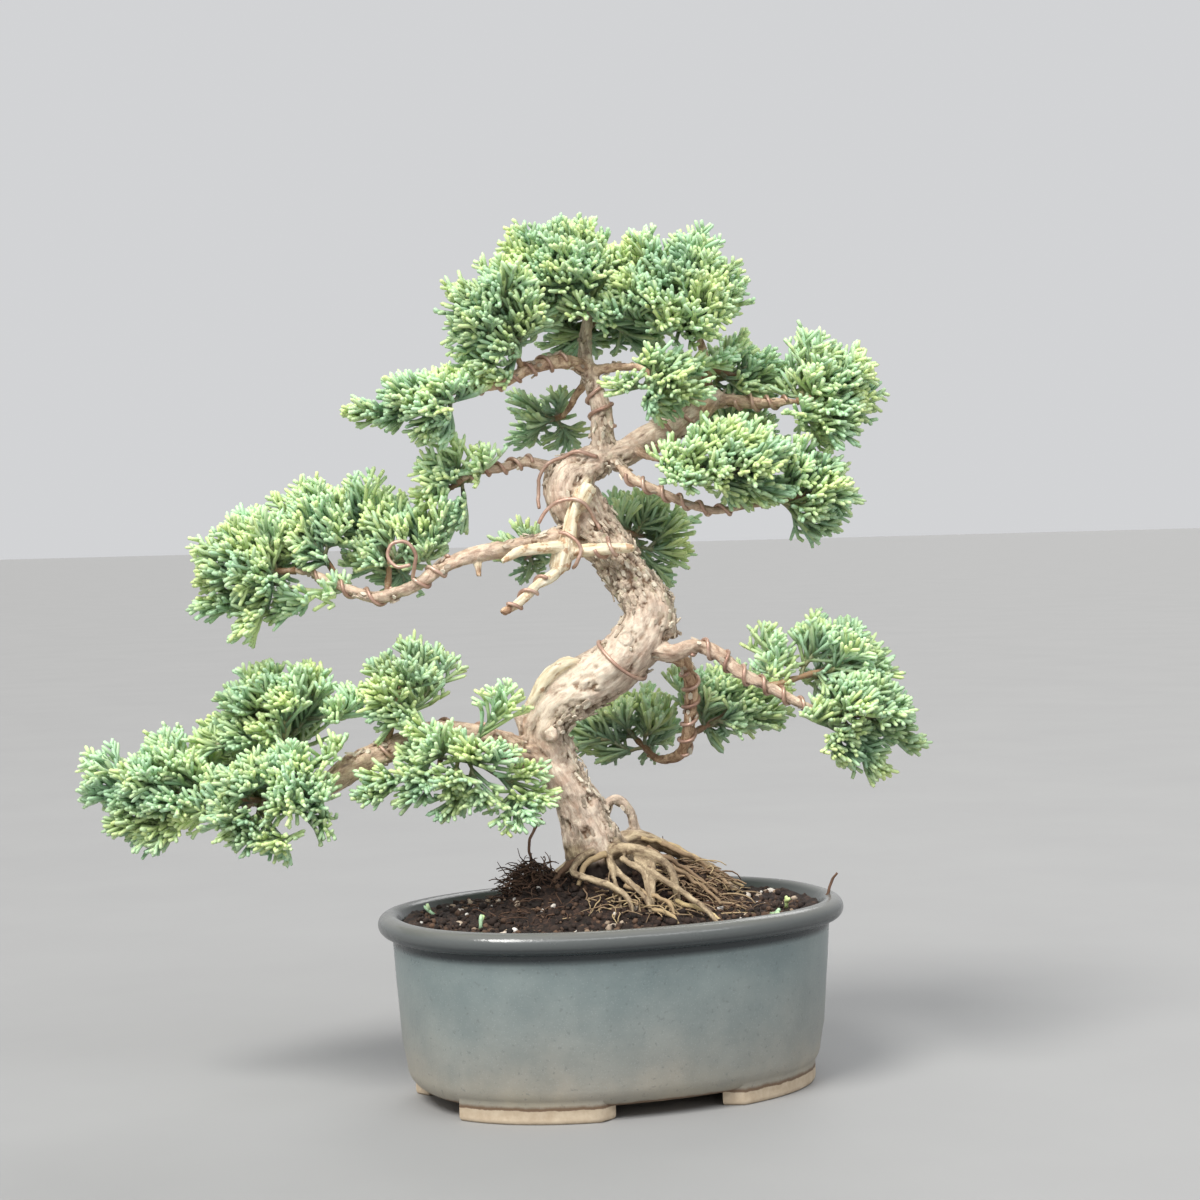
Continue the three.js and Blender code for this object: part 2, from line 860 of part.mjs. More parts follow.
function footSolid(turnX, turnY) {
  const [startAngle, endAngle] = FOOT_ANGLES.map(THREE.MathUtils.degToRad);
  const [outerInset, innerInset] = FOOT_INSETS;
  const middleInset = (outerInset + innerInset) / 2;
  const steps = 4;
  const [startTip, endTip] = [startAngle - FOOT_ROUND_END, endAngle + FOOT_ROUND_END];
  const corners = [];
  for (let step = 0; step <= steps; step++) corners.push([outerInset, startAngle, endAngle, step]);
  corners.push([middleInset, endTip, endTip, 0]);
  for (let step = 0; step <= steps; step++) corners.push([innerInset, endAngle, startAngle, step]);
  corners.push([middleInset, startTip, startTip, 0]);
  const outline = corners.map(([inset, from, to, step]) => {
    const angle = THREE.MathUtils.lerp(from, to, step / steps);
    return new THREE.Vector2(...ovalPoint(RIM_HALF_LENGTH - inset, angle));
  });
  const intoPot = 5;
  const depth = FOOT_HEIGHT + intoPot;
  const geometry = new THREE.ExtrudeGeometry(new THREE.Shape(outline), { depth, bevelEnabled: false });
  return solidOf(geometry).scale([turnX, turnY, 1]);
}

function drainHole(x) {
  const length = 3 * POT_FLOOR_TOP;
  const geometry = new THREE.CylinderGeometry(DRAIN_RADIUS, DRAIN_RADIUS, length, DRAIN_SIDES);
  geometry.rotateX(Math.PI / 2);
  geometry.translate(x, 0, POT_FLOOR_TOP);
  return solidOf(geometry);
}

function potSolid() {
  const rollCentre = [3.8, POT_HEIGHT - RIM_ROLL_RADIUS];
  const wallFoot = [8.6, FOOT_HEIGHT + WALL_CORNER_RADIUS];
  const wallMiddle = [6.4, 32];
  const wallTop = [4.9, 54.4];
  const outside = [
    [RIM_HALF_LENGTH, FOOT_HEIGHT],
    ...arcPoints(wallFoot[0] + WALL_CORNER_RADIUS, wallFoot[1], WALL_CORNER_RADIUS, 270, 180, 3),
    wallMiddle,
    wallTop,
    ...arcPoints(...rollCentre, RIM_ROLL_RADIUS, 235, 50, 5),
  ];
  const body = ovalSolid([...outside, ...innerProfile(0).reverse()], POT_SEGMENTS);
  const feet = [footSolid(1, 1), footSolid(-1, 1), footSolid(1, -1), footSolid(-1, -1)];
  const drains = [drainHole(-DRAIN_PLACE), drainHole(DRAIN_PLACE)];
  return mainBody(fuse([body, ...feet]).subtract(fuse(drains)));
}

// The soil: it fills the pot to just below the lip and is mounded up to the trunk.
function soilHeight(x, y) {
  const away = Math.hypot(x / RIM_HALF_LENGTH, y / RIM_HALF_WIDTH);
  const crumbs = 0.5 * Math.sin(0.31 * x + 0.2 * y) * Math.cos(0.27 * y - 0.15 * x);
  return SOIL_EDGE + SOIL_RISE * Math.exp(-((away / SOIL_SPREAD) ** 2)) + humpHeight(x, y) + crumbs;
}

function humpHeight(x, y) {
  const right = x * Math.cos(TREE_TURN) + y * Math.sin(TREE_TURN);
  const back = y * Math.cos(TREE_TURN) - x * Math.sin(TREE_TURN);
  let height = 0;
  for (const { middle, reach, rise } of SOIL_HUMPS) {
    const away = Math.hypot((right - middle[0]) / reach[0], (back - middle[1]) / reach[1]);
    height += rise * Math.exp(-(away ** 2));
  }
  return height;
}

function soilSolid(screenPockets, buriedWood) {
  const surface = 1000;
  const rings = [9.8, 22, 36, 50, 64, RIM_HALF_LENGTH];
  const profile = [
    ...innerProfile(GAP),
    ...rings.map((inset) => [inset, surface]),
  ];
  const shape = (x, y, z) => (z === surface ? soilHeight(x, y) : z);
  const whole = ovalSolid(profile, SOIL_SEGMENTS, shape);
  return mainBody(whole.subtract(fuse([...screenPockets, buriedWood])));
}

// A square of plastic mesh over each drain hole, held down by a bent wire clip.
function boxSolid(width, depth, height, x, y, z) {
  const geometry = new THREE.BoxGeometry(width, depth, height);
  geometry.translate(x, y, z);
  return solidOf(geometry);
}

function screenSolid(x) {
  const level = POT_FLOOR_TOP + GAP + SCREEN_THICKNESS / 2;
  const plate = boxSolid(SCREEN_SIZE, SCREEN_SIZE, SCREEN_THICKNESS, x, 0, level);
  const holes = [];
  for (let row = -1; row <= 1; row++) {
    for (let column = -1; column <= 1; column++) {
      const place = [x + column * SCREEN_PITCH, row * SCREEN_PITCH];
      holes.push(boxSolid(SCREEN_MESH, SCREEN_MESH, 3 * SCREEN_THICKNESS, ...place, level));
    }
  }
  return mainBody(plate.subtract(fuse(holes)));
}

function clipSolid(x) {
  const over = POT_FLOOR_TOP + 2 * GAP + SCREEN_THICKNESS + CLIP_RADIUS;
  const under = FOOT_HEIGHT - GAP - CLIP_RADIUS;
  const leg = SCREEN_PITCH;
  const bend = 1.2;
  const half = [
    [leg + 5.5, under],
    [leg + bend, under],
    [leg, under + bend],
    [leg, over - bend],
    [leg - bend, over],
  ];
  const points = [...half, ...half.map(([reach, up]) => [-reach, up]).reverse()];
  const stations = points.map(([reach, up]) => [x + reach, 0, up, CLIP_RADIUS]);
  return limbSolid(routeOf({ stations }), { sides: 4, spacing: 2.4 });
}

function screenPocket(x) {
  const size = SCREEN_SIZE + 2 * GAP;
  const height = SCREEN_THICKNESS + 2 * CLIP_RADIUS + 4 * GAP;
  return boxSolid(size, size, 2 * height, x, 0, POT_FLOOR_TOP);
}

// A wire wound on a limb, from an angle that is 0 in front. Each place on it is moved out from
// the limb until it is clear.
function woundPlaces(wire, route, wood) {
  const count = Math.round(wire.turns * WIRE_STEPS_PER_TURN);
  const places = [];
  for (let index = 0; index <= count; index++) {
    const fraction = THREE.MathUtils.lerp(wire.from, wire.to, index / count);
    const angle = wire.start + (index / WIRE_STEPS_PER_TURN) * 2 * Math.PI;
    const along = route.curve.getTangentAt(fraction);
    const side = along.clone().cross(TOWARDS_VIEWER).normalize();
    const front = side.clone().cross(along);
    const outward = front.multiplyScalar(Math.cos(angle)).addScaledVector(side, Math.sin(angle));
    const centre = route.curve.getPointAt(fraction);
    const reach = radiusAt(route, fraction) + WIRE_RADIUS + GAP;
    const place = { centre, outward, reach };
    while (!isClear(dotBone(pointOf(place)), wood)) place.reach += NUDGE;
    places.push(place);
  }
  return places;
}

// A wire laid along the wood. Each listed place is moved away from the limb's middle until it is
// clear.
function laidPlaces(wire, route, wood) {
  const fineSteps = 200;
  const middles = route.curve.getSpacedPoints(fineSteps);
  return wire.laid.map((listed) => {
    const centre = vectorOf(listed);
    const distances = middles.map((middle) => middle.distanceTo(centre));
    const nearest = middles[distances.indexOf(Math.min(...distances))];
    const place = { centre, outward: centre.clone().sub(nearest).normalize(), reach: 0 };
    while (!isClear(dotBone(pointOf(place)), wood)) place.reach += NUDGE;
    return place;
  });
}

function pointOf({ centre, outward, reach }) {
  return centre.clone().addScaledVector(outward, reach);
}

function dotBone(point) {
  const end = point.clone().add(new THREE.Vector3(0.01, 0, 0));
  return boneOf(point, end, WIRE_RADIUS, WIRE_RADIUS, "wire");
}

function wireBones(points, name) {
  const steps = points.length - 1;
  const curve = new THREE.CatmullRomCurve3(points);
  const centres = curve.getSpacedPoints(steps);
  const radii = [WIRE_RADIUS, WIRE_RADIUS];
  return centres.slice(1).map((end, index) => boneOf(centres[index], end, ...radii, name));
}

// Between its places a wire runs straight, so the places beside a stretch that cuts a corner
// are moved out until no stretch does.
function wireRoute(wire, blocked, wood) {
  const findPlaces = wire.laid ? laidPlaces : woundPlaces;
  const places = findPlaces(wire, LIMB_ROUTES[wire.on], wood);
  const tail = (wire.tail ?? []).map(vectorOf);
  const mostRounds = 60;
  for (let round = 0; round < mostRounds; round++) {
    const points = [...places.map(pointOf), ...tail];
    const bones = wireBones(points, wire.name);
    const cutting = bones.flatMap((bone, index) => (isClear(bone, blocked) ? [] : [index]));
    if (cutting.length === 0) return { points, bones };
    const near = new Set(cutting.flatMap((index) => [index, index + 1]));
    for (const index of near) if (places[index]) places[index].reach += NUDGE;
  }
  throw new Error(`${wire.name} doesn't come clear of the wood`);
}

function wireSolid(points) {
  const route = routeOf({ stations: points.map(({ x, y, z }) => [x, y, z, WIRE_RADIUS]) });
  const spacing = route.curve.getLength() / (points.length - 1);
  return limbSolid(route, { sides: WIRE_SIDES, spacing });
}

// A pad is one closed skin of triangles. It starts as a small triangle, and each cord is drawn
// out of a triangle of the skin as rings of three corners, so that forks flow into each other.
function startSkin(centre, direction) {
  const skin = { corners: [], faces: [] };
  const ring = addRing(skin, centre, direction, LEADER_ROOT_RADIUS, 0);
  addFace(skin, [...ring].reverse());
  return { skin, base: addFace(skin, ring) };
}

function addFace(skin, corners) {
  const points = corners.map((corner) => skin.corners[corner]);
  const middle = ringMiddle(skin, corners);
  const span = Math.max(...points.map((point) => point.distanceTo(middle)));
  const face = { corners, points, middle, span, taken: false };
  skin.faces.push(face);
  return face;
}

// Whether an edge of one face passes through the other. Edges that start or end on it may touch.
function pierces(edged, face) {
  const ray = new THREE.Ray();
  return edged.corners.some((corner, index) => {
    const next = (index + 1) % 3;
    if (face.corners.includes(corner) || face.corners.includes(edged.corners[next])) return false;
    const [start, end] = [edged.points[index], edged.points[next]];
    ray.set(start, end.clone().sub(start).normalize());
    const hit = ray.intersectTriangle(...face.points, false, new THREE.Vector3());
    return hit !== null && hit.distanceTo(start) <= end.distanceTo(start);
  });
}

function facesCross(one, other) {
  if (one.middle.distanceTo(other.middle) > one.span + other.span) return false;
  return pierces(one, other) || pierces(other, one);
}

function addRing(skin, centre, direction, radius, turn) {
  const across = crossAxis(direction);
  return [0, 1, 2].map((corner) => {
    const spoke = across.clone().applyAxisAngle(direction, turn + (corner * 2 * Math.PI) / 3);
    skin.corners.push(spoke.multiplyScalar(radius).add(centre));
    return skin.corners.length - 1;
  });
}

function crossAxis(direction) {
  return new THREE.Vector3(direction.y, direction.z, direction.x).cross(direction).normalize();
}

function ringMiddle(skin, ring) {
  const sum = ring.reduce((total, corner) => total.add(skin.corners[corner]), new THREE.Vector3());
  return sum.divideScalar(3);
}

// The turn that sets a new ring's corners straight ahead of the last ring's.
function matchingTurn(skin, ring, direction) {
  const across = crossAxis(direction);
  const upright = direction.clone().cross(across);
  const middle = ringMiddle(skin, ring);
  let [cos, sin] = [0, 0];
  ring.forEach((corner, index) => {
    const spoke = skin.corners[corner].clone().sub(middle);
    const angle = Math.atan2(spoke.dot(upright), spoke.dot(across)) - (index * 2 * Math.PI) / 3;
    cos += Math.cos(angle);
    sin += Math.sin(angle);
  });
  return Math.atan2(sin, cos);
}

function drawOut(skin, base, bone, spacing, firstStep = 0) {
  base.taken = true;
  const direction = bone.line.delta(new THREE.Vector3()).normalize();
  const length = bone.line.distance() - firstStep;
  const steps = Math.max(1, Math.round(length / spacing));
  const distances = firstStep > 0 ? [firstStep] : [];
  for (let step = 1; step <= steps; step++) distances.push(firstStep + (length * step) / steps);
  let ring = base.corners;
  const segments = distances.map((distance) => {
    const along = distance / bone.line.distance();
    const radius = THREE.MathUtils.lerp(bone.startRadius, bone.endRadius, along);
    const centre = bone.line.at(along, new THREE.Vector3());
    const turn = matchingTurn(skin, ring, direction) + RING_TWIST;
    const next = addRing(skin, centre, direction, radius, turn);
    const sides = [0, 1, 2].map((side) => joinSide(skin, ring, next, side));
    ring = next;
    return { sides, along };
  });
  addFace(skin, ring);
  return { bone, direction, segments };
}

function joinSide(skin, ring, next, side) {
  const after = (side + 1) % 3;
  const near = addFace(skin, [ring[side], ring[after], next[after]]);
  addFace(skin, [ring[side], next[after], next[side]]);
  return near;
}

function faceNormal({ points: [a, b, c] }) {
  return b.clone().sub(a).cross(c.clone().sub(a)).normalize();
}

function skinSolid({ corners, faces }) {
  const free = faces.filter((face) => !face.taken);
  const geometry = new THREE.BufferGeometry().setFromPoints(corners);
  geometry.setIndex(free.flatMap((face) => face.corners));
  return solidOf(geometry);
}

// A pad's leader runs from a gap off its limb's bark, through the pad's middle, to its far edge.
function growLeader(growth, blocked) {
  const { pad } = growth;
  const root = LIMB_ROUTES[pad.on].curve.getPointAt(pad.at);
  const centre = vectorOf(pad.centre);
  const direction = centre.clone().sub(root).normalize();
  const start = root.clone();
  const neck = 0.4;
  const neckEnd = () => start.clone().addScaledVector(direction, neck);
  while (!isClear(boneOf(start, neckEnd(), LEADER_ROOT_RADIUS, neck, pad.name), blocked)) {
    start.addScaledVector(direction, 0.5 * NUDGE);
  }
  const beyond = direction.clone().multiply(vectorOf(pad.reach)).length();
  const tip = centre.clone().addScaledVector(direction, beyond);
  const { skin, base } = startSkin(start, direction);
  const bone = boneOf(start, tip, LEADER_RADIUS, SHOOT_TIP_RADIUS, pad.name);
  growth.skin = skin;
  growth.leader = drawOut(skin, base, bone, LEADER_SPACING, LEADER_FIRST_RING);
  growth.bones = [bone];
}

// A new cord keeps clear of all other pieces, and past its root also of its own pad.
function fits(bone, parent, growth, blocked) {
  if (!isClear(bone, blocked)) return false;
  const outerStart = bone.line.at(ROOT_SHARE, new THREE.Vector3());
  const outer = boneOf(outerStart, bone.line.end, bone.startRadius, bone.endRadius);
  return growth.bones.every((other) => {
    if (other === parent) return true;
    const tested = other.parent === parent ? outer : bone;
    return gapBetween(tested, other) >= OWN_GAP;
  });
}

// Draws a cord out of a face of the skin, or leaves the skin as it was where the cord's faces
// would cross others or each other.
function addCord(growth, face, bone, parent, spacing, blocked) {
  const { skin } = growth;
  const standing = skin.faces.filter((other) => !other.taken && other !== face);
  const [faceCount, cornerCount] = [skin.faces.length, skin.corners.length];
  const cord = drawOut(skin, face, bone, spacing);
  const drawn = skin.faces.slice(faceCount);
  const near = [...standing, ...drawn];
  if (drawn.some((one) => near.some((other) => facesCross(one, other)))) {
    skin.faces.length = faceCount;
    skin.corners.length = cornerCount;
    face.taken = false;
    return null;
  }
  bone.parent = parent;
  growth.bones.push(bone);
  blocked.push(bone);
  return cord;
}

// Sprays stand evenly round the leader, the first ones low on it and the last ones high, and
// reach out to the pad's own oval.
function growSprays(growth, blocked) {
  const { pad, leader, random } = growth;
  const across = crossAxis(leader.direction);
  const reach = vectorOf(pad.reach);
  const count = Math.round((reach.x + reach.y + reach.z) / SPRAY_SHARE);
  const twist = 2 * Math.PI * random();
  const [lowest, highest] = [-0.7, 0.6];
  growth.sprays = [];
  for (let index = 0; index < count; index++) {
    const along = THREE.MathUtils.lerp(lowest, highest, (index + 0.5) / count);
    const target = across.clone().applyAxisAngle(leader.direction, twist + index * GOLDEN_ANGLE);
    target.addScaledVector(leader.direction, along).normalize();
    target.multiply(reach).add(vectorOf(pad.centre));
    growSpray(growth, target, blocked);
  }
}

// A spray leaves the leader by the face that looks most nearly towards its target. Where its way
// is blocked it is drawn shorter and bent aside.
function growSpray(growth, target, blocked) {
  const { leader, random, pad } = growth;
  const [leastTurn, mostWander, forwardPull] = [0.45, 16, 0.5];
  const sides = leader.segments.slice(1, -1).flatMap((segment) => segment.sides);
  const roots = sides.filter((face) => !face.taken);
  const rank = (face) => {
    const heading = target.clone().sub(face.middle).normalize();
    return faceNormal(face).dot(heading) + forwardPull * leader.direction.dot(heading);
  };
  const best = roots.sort((one, other) => rank(other) - rank(one)).slice(0, 4);
  for (const share of [1, 0.9, 0.8, 0.7, 0.6]) {
    for (const face of best) {
      const wander = new THREE.Vector3(random() - 0.5, random() - 0.5, random() - 0.5);
      const end = face.middle.clone().lerp(target, share);
      end.addScaledVector(wander, mostWander * (1 - share));
      const bone = boneOf(face.middle, end, SPRAY_BASE_RADIUS, SHOOT_TIP_RADIUS, pad.name);
      const heading = end.clone().sub(face.middle).normalize();
      if (faceNormal(face).dot(heading) < leastTurn) continue;
      if (!fits(bone, leader.bone, growth, blocked)) continue;
      const spray = addCord(growth, face, bone, leader.bone, SPRAY_SPACING, blocked);
      if (!spray) continue;
      growth.sprays.push(spray);
      return;
    }
  }
}

// Side shoots leave an axis by two sides of each stretch between rings. Towards its tip they
// lean further forward and get shorter.
function growShoots(growth, axis, fromAlong, blocked) {
  const { random, pad } = growth;
  for (const { sides, along } of axis.segments) {
    if (along < fromAlong) continue;
    let shoots = 0;
    const first = Math.floor(3 * random());
    for (let turn = 0; turn < 3 && shoots < SHOOTS_PER_STRETCH; turn++) {
      const face = sides[(first + turn) % 3];
      if (face.taken) continue;
      const evenLean = THREE.MathUtils.lerp(SHOOT_LEAN, SHOOT_LEAN_AT_TIP, along);
      const lean = THREE.MathUtils.degToRad(evenLean + SHOOT_LEAN_SPREAD * random());
      const outward = faceNormal(face).multiplyScalar(Math.sin(lean));
      const heading = outward.addScaledVector(axis.direction, Math.cos(lean));
      const share = THREE.MathUtils.lerp(1, SHOOT_LENGTH_AT_TIP, along);
      const reach = SHOOT_LENGTH * share * THREE.MathUtils.lerp(...SHOOT_LENGTH_SPREAD, random());
      const end = face.middle.clone().addScaledVector(heading.normalize(), reach);
      const bone = boneOf(face.middle, end, SHOOT_BASE_RADIUS, SHOOT_TIP_RADIUS, pad.name);
      if (!fits(bone, axis.bone, growth, blocked)) continue;
      if (addCord(growth, face, bone, axis.bone, 2 * reach, blocked)) shoots += 1;
    }
  }
}

// All leaders are grown first, then all sprays and last the shoots, so that no pad takes
// another's room.
function growPads(blocked) {
  const [firstSeed, seedStep] = [1009, 77];
  const grown = PADS.map((pad, index) => ({ pad, random: seededRandom(firstSeed + seedStep * index) }));
  for (const growth of grown) {
    growLeader(growth, blocked);
    blocked.push(growth.leader.bone);
  }
  for (const growth of grown) growSprays(growth, blocked);
  for (const growth of grown) {
    for (const spray of growth.sprays) growShoots(growth, spray, SPRAY_BARE_SHARE, blocked);
    growShoots(growth, growth.leader, LEADER_BARE_SHARE, blocked);
  }
  return grown;
}

function turned(solid) {
  return solid.rotate([0, 0, THREE.MathUtils.radToDeg(TREE_TURN)]);
}

const LIMB_ROUTES = {};
for (const [name, limb] of Object.entries(LIMBS)) LIMB_ROUTES[name] = routeOf(limb);

function woodSolid(swell) {
  const names = Object.keys(LIMBS);
  return fuse(names.map((name) => limbSolid(LIMB_ROUTES[name], { ...LIMBS[name], swell })));
}

const glaze = new THREE.MeshStandardMaterial({ color: 0x55696c, roughness: 0.35, metalness: 0 });
const peat = new THREE.MeshStandardMaterial({ color: 0x2c211b, roughness: 1, metalness: 0 });
const bark = new THREE.MeshStandardMaterial({ color: 0xb39b84, roughness: 0.85, metalness: 0 });
const needles = new THREE.MeshStandardMaterial({ color: 0x5f9467, roughness: 0.6, metalness: 0 });
const wireMetal = new THREE.MeshStandardMaterial({ color: 0x7d4e36, roughness: 0.4, metalness: 0.7 });
const meshPlastic = new THREE.MeshStandardMaterial({ color: 0x20242a, roughness: 0.6, metalness: 0 });

function potGroup() {
  const group = new THREE.Group();
  const drains = { left: -DRAIN_PLACE, right: DRAIN_PLACE };
  const pockets = Object.values(drains).map(screenPocket);
  group.add(meshOf("pot", potSolid(), glaze));
  group.add(meshOf("soil", soilSolid(pockets, turned(woodSolid(GAP))), peat));
  for (const [side, x] of Object.entries(drains)) {
    group.add(meshOf(`drain_screen_${side}`, screenSolid(x), meshPlastic));
    group.add(meshOf(`drain_clip_${side}`, clipSolid(x), wireMetal));
  }
  return group;
}

function treeGroup() {
  const group = new THREE.Group();
  const names = Object.keys(LIMBS);
  const wood = names.flatMap((name) => bonesOf(LIMB_ROUTES[name], LIMBS[name].spacing));
  const blocked = [...wood];
  group.add(meshOf("tree_wood", mainBody(woodSolid(0)), bark));
  for (const wire of WIRES) {
    const { points, bones } = wireRoute(wire, blocked, wood);
    blocked.push(...bones);
    group.add(meshOf(wire.name, wireSolid(points), wireMetal));
  }
  for (const { pad, skin } of growPads(blocked)) group.add(meshOf(pad.name, skinSolid(skin), needles));
  group.rotation.z = TREE_TURN;
  return group;
}

// The part's origin is at the middle of its bounding box, on the plane that the pot stands on.
const bonsai = new THREE.Group();
bonsai.add(potGroup(), treeGroup());
const middle = new THREE.Box3().setFromObject(bonsai, true).getCenter(new THREE.Vector3());
bonsai.position.set(-middle.x, -middle.y, 0);

export default bonsai;
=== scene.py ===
import math
import random

import bpy
import numpy as np
from mathutils import Matrix, Vector, noise
from mathutils.bvhtree import BVHTree


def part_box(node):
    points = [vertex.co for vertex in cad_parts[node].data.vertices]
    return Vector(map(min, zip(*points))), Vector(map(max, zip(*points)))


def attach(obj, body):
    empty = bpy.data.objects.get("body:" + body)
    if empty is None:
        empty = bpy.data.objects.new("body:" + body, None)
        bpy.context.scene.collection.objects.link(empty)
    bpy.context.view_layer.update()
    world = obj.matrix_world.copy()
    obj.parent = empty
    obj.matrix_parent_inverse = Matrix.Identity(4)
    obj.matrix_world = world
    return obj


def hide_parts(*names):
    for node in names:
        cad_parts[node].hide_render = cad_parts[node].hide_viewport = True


# A kishu juniper bonsai in its oval glazed pot. Shapes are worked out in millimetres and put
# into the frame as their meshes are made. Places on the tree are (right, back, up) from the
# middle of the surface under the pot, as seen from the tree's front.

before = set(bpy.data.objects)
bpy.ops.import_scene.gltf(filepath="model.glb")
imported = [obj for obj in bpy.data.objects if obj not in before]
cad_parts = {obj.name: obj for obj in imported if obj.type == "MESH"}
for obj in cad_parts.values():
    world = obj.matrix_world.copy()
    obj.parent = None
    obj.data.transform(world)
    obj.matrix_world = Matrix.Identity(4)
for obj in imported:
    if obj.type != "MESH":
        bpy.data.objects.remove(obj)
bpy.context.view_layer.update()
scene = bpy.context.scene

MM = 0.001
TREE_TURN = -0.398
POT_LOW, POT_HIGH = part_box("pot")
POT_MIDDLE = np.array([(POT_LOW.x + POT_HIGH.x) / 2, (POT_LOW.y + POT_HIGH.y) / 2, 0.0])

# The camera, as seen from the tree's front. Its angles are in radians.
CAMERA_PLACE = (-1.9, -844.4, 188.5)
CAMERA_LOOKS_DOWN = 0.028
CAMERA_ROLL = 0.024
CAMERA_LENS = 75.2
SENSOR_WIDTH = 36

# Lamps: kind, place from the tree's front, width in radians or m, strength and colour.
LAMPS = {
    "key": ("SUN", (-800, -1200, 1900), 0.4, 3.1, (1.0, 0.98, 0.95)),
    "fill": ("AREA", (400, -1100, 1250), 2.6, 12, (0.95, 0.97, 1.0)),
    "back": ("SUN", (500, 1500, 1700), 0.5, 0.6, (1.0, 1.0, 1.0)),
}
LAMP_AIM = (0, 0, 150)
STRIP_HEIGHT = 0.3
STUDIO_COLOUR = (0.95, 0.96, 0.98, 1)
STUDIO_STRENGTH = 0.68
FLOOR_REACH = 30.0

# The pot. Insets are measured inwards from the rim's edge.
RIM_HALF_LENGTH = 80
RIM_HALF_WIDTH = 59.5
RIM_OVERHANG = RIM_HALF_LENGTH - RIM_HALF_WIDTH
WIDE_HALF_LENGTH = 64
POT_HEIGHT = 62.5
OVAL_POWER = 2.25
FOOT_HEIGHT = 4.2
POT_FLOOR_TOP = 10.5
WALL_CORNER_RADIUS = 8
WALL_FOOT_INSET = 8.6
WALL = ((7.2, 20), (6.7, 27), (6.25, 34), (5.7, 41), (5.25, 48), (4.9, 53.4), (4.7, 54.9))
RIM_ROLL_INSET = 3.8
RIM_ROLL_RADIUS = 3.7
INNER_FOOT = (12.6, 20)
INNER_TOP = (10, 54)
DRAIN_PLACE = 35
DRAIN_RADIUS = 7.5
FOOT_ANGLES = (23.5, 71.5)
FOOT_INSETS = (10.5, 19.5)
FOOT_TIP_ANGLE = 0.07
FOOT_STEPS = 14
# How far a foot's edge is drawn in at each height.
FOOT_LEVELS = ((0, 1.0), (0.25, 0.45), (0.8, 0.1), (1.6, 0), (FOOT_HEIGHT + 5, 0))
POT_SEGMENTS = 180

# The soil.
GAP = 0.32
SOIL_INSET = 8.1
SOIL_EDGE = 58.6
SOIL_EDGE_TOP = 59.2
SOIL_RISE = 15.5
SOIL_SPREAD = 0.42
SOIL_RINGS = 84
SOIL_SEGMENTS = 230
# Humps as seen from the tree's front: middle, reach and rise.
SOIL_HUMPS = (((-27, -10), (11, 9), 8), ((24, 8), (17, 10), 7.5))

# The wood.
WOOD_VOXEL = 0.67
THICK_LIMB = 4
SOIL_LINE = 79
FLAKES = 900

WIRE_RADIUS = 0.65
WIRE_LIFT = 0.8 * WIRE_RADIUS

# The foliage. A fan's shoots fork: where along the shoot, how long and on how many shoots. Radii
# are a cord's first and last, and a fork's leans are in degrees.
FAN_SPACING = 14.5
NODE_SPACING = 2.0
SHOOTS_PER_MM = 0.95
WIDEST_LEAN = math.radians(64)
FAN_FLATNESS = 0.6
LOOSE_FAN_SIZE = 11
FORKS = ((0.36, 7.2, 0.5), (0.53, 6.2, 0.85), (0.68, 4.8, 0.92), (0.81, 3.6, 0.92), (0.92, 2.4, 0.9))
SPINE_RADII = (1.35, 0.8)
BRANCHLET_RADII = (0.85, 0.72)
SHOOT_RADII = (0.72, 0.72)
FORK_RADII = (0.66, 0.76)
FORK_LEANS = (28, 46)
SCALE_SWELL = 0.08
GOLDEN_ANGLE = math.pi * (3 - math.sqrt(5))

# Seeds of the random draws.
SEEDS = {
    "flakes": 613,
    "soil_crumbs": 77,
    "soil_grit": 78,
    "fine_roots": 4201,
    "surface_roots": 88,
    "fallen_leaves": 17,
}
FIRST_PAD_SEED = 1009
PAD_SEED_STEP = 77

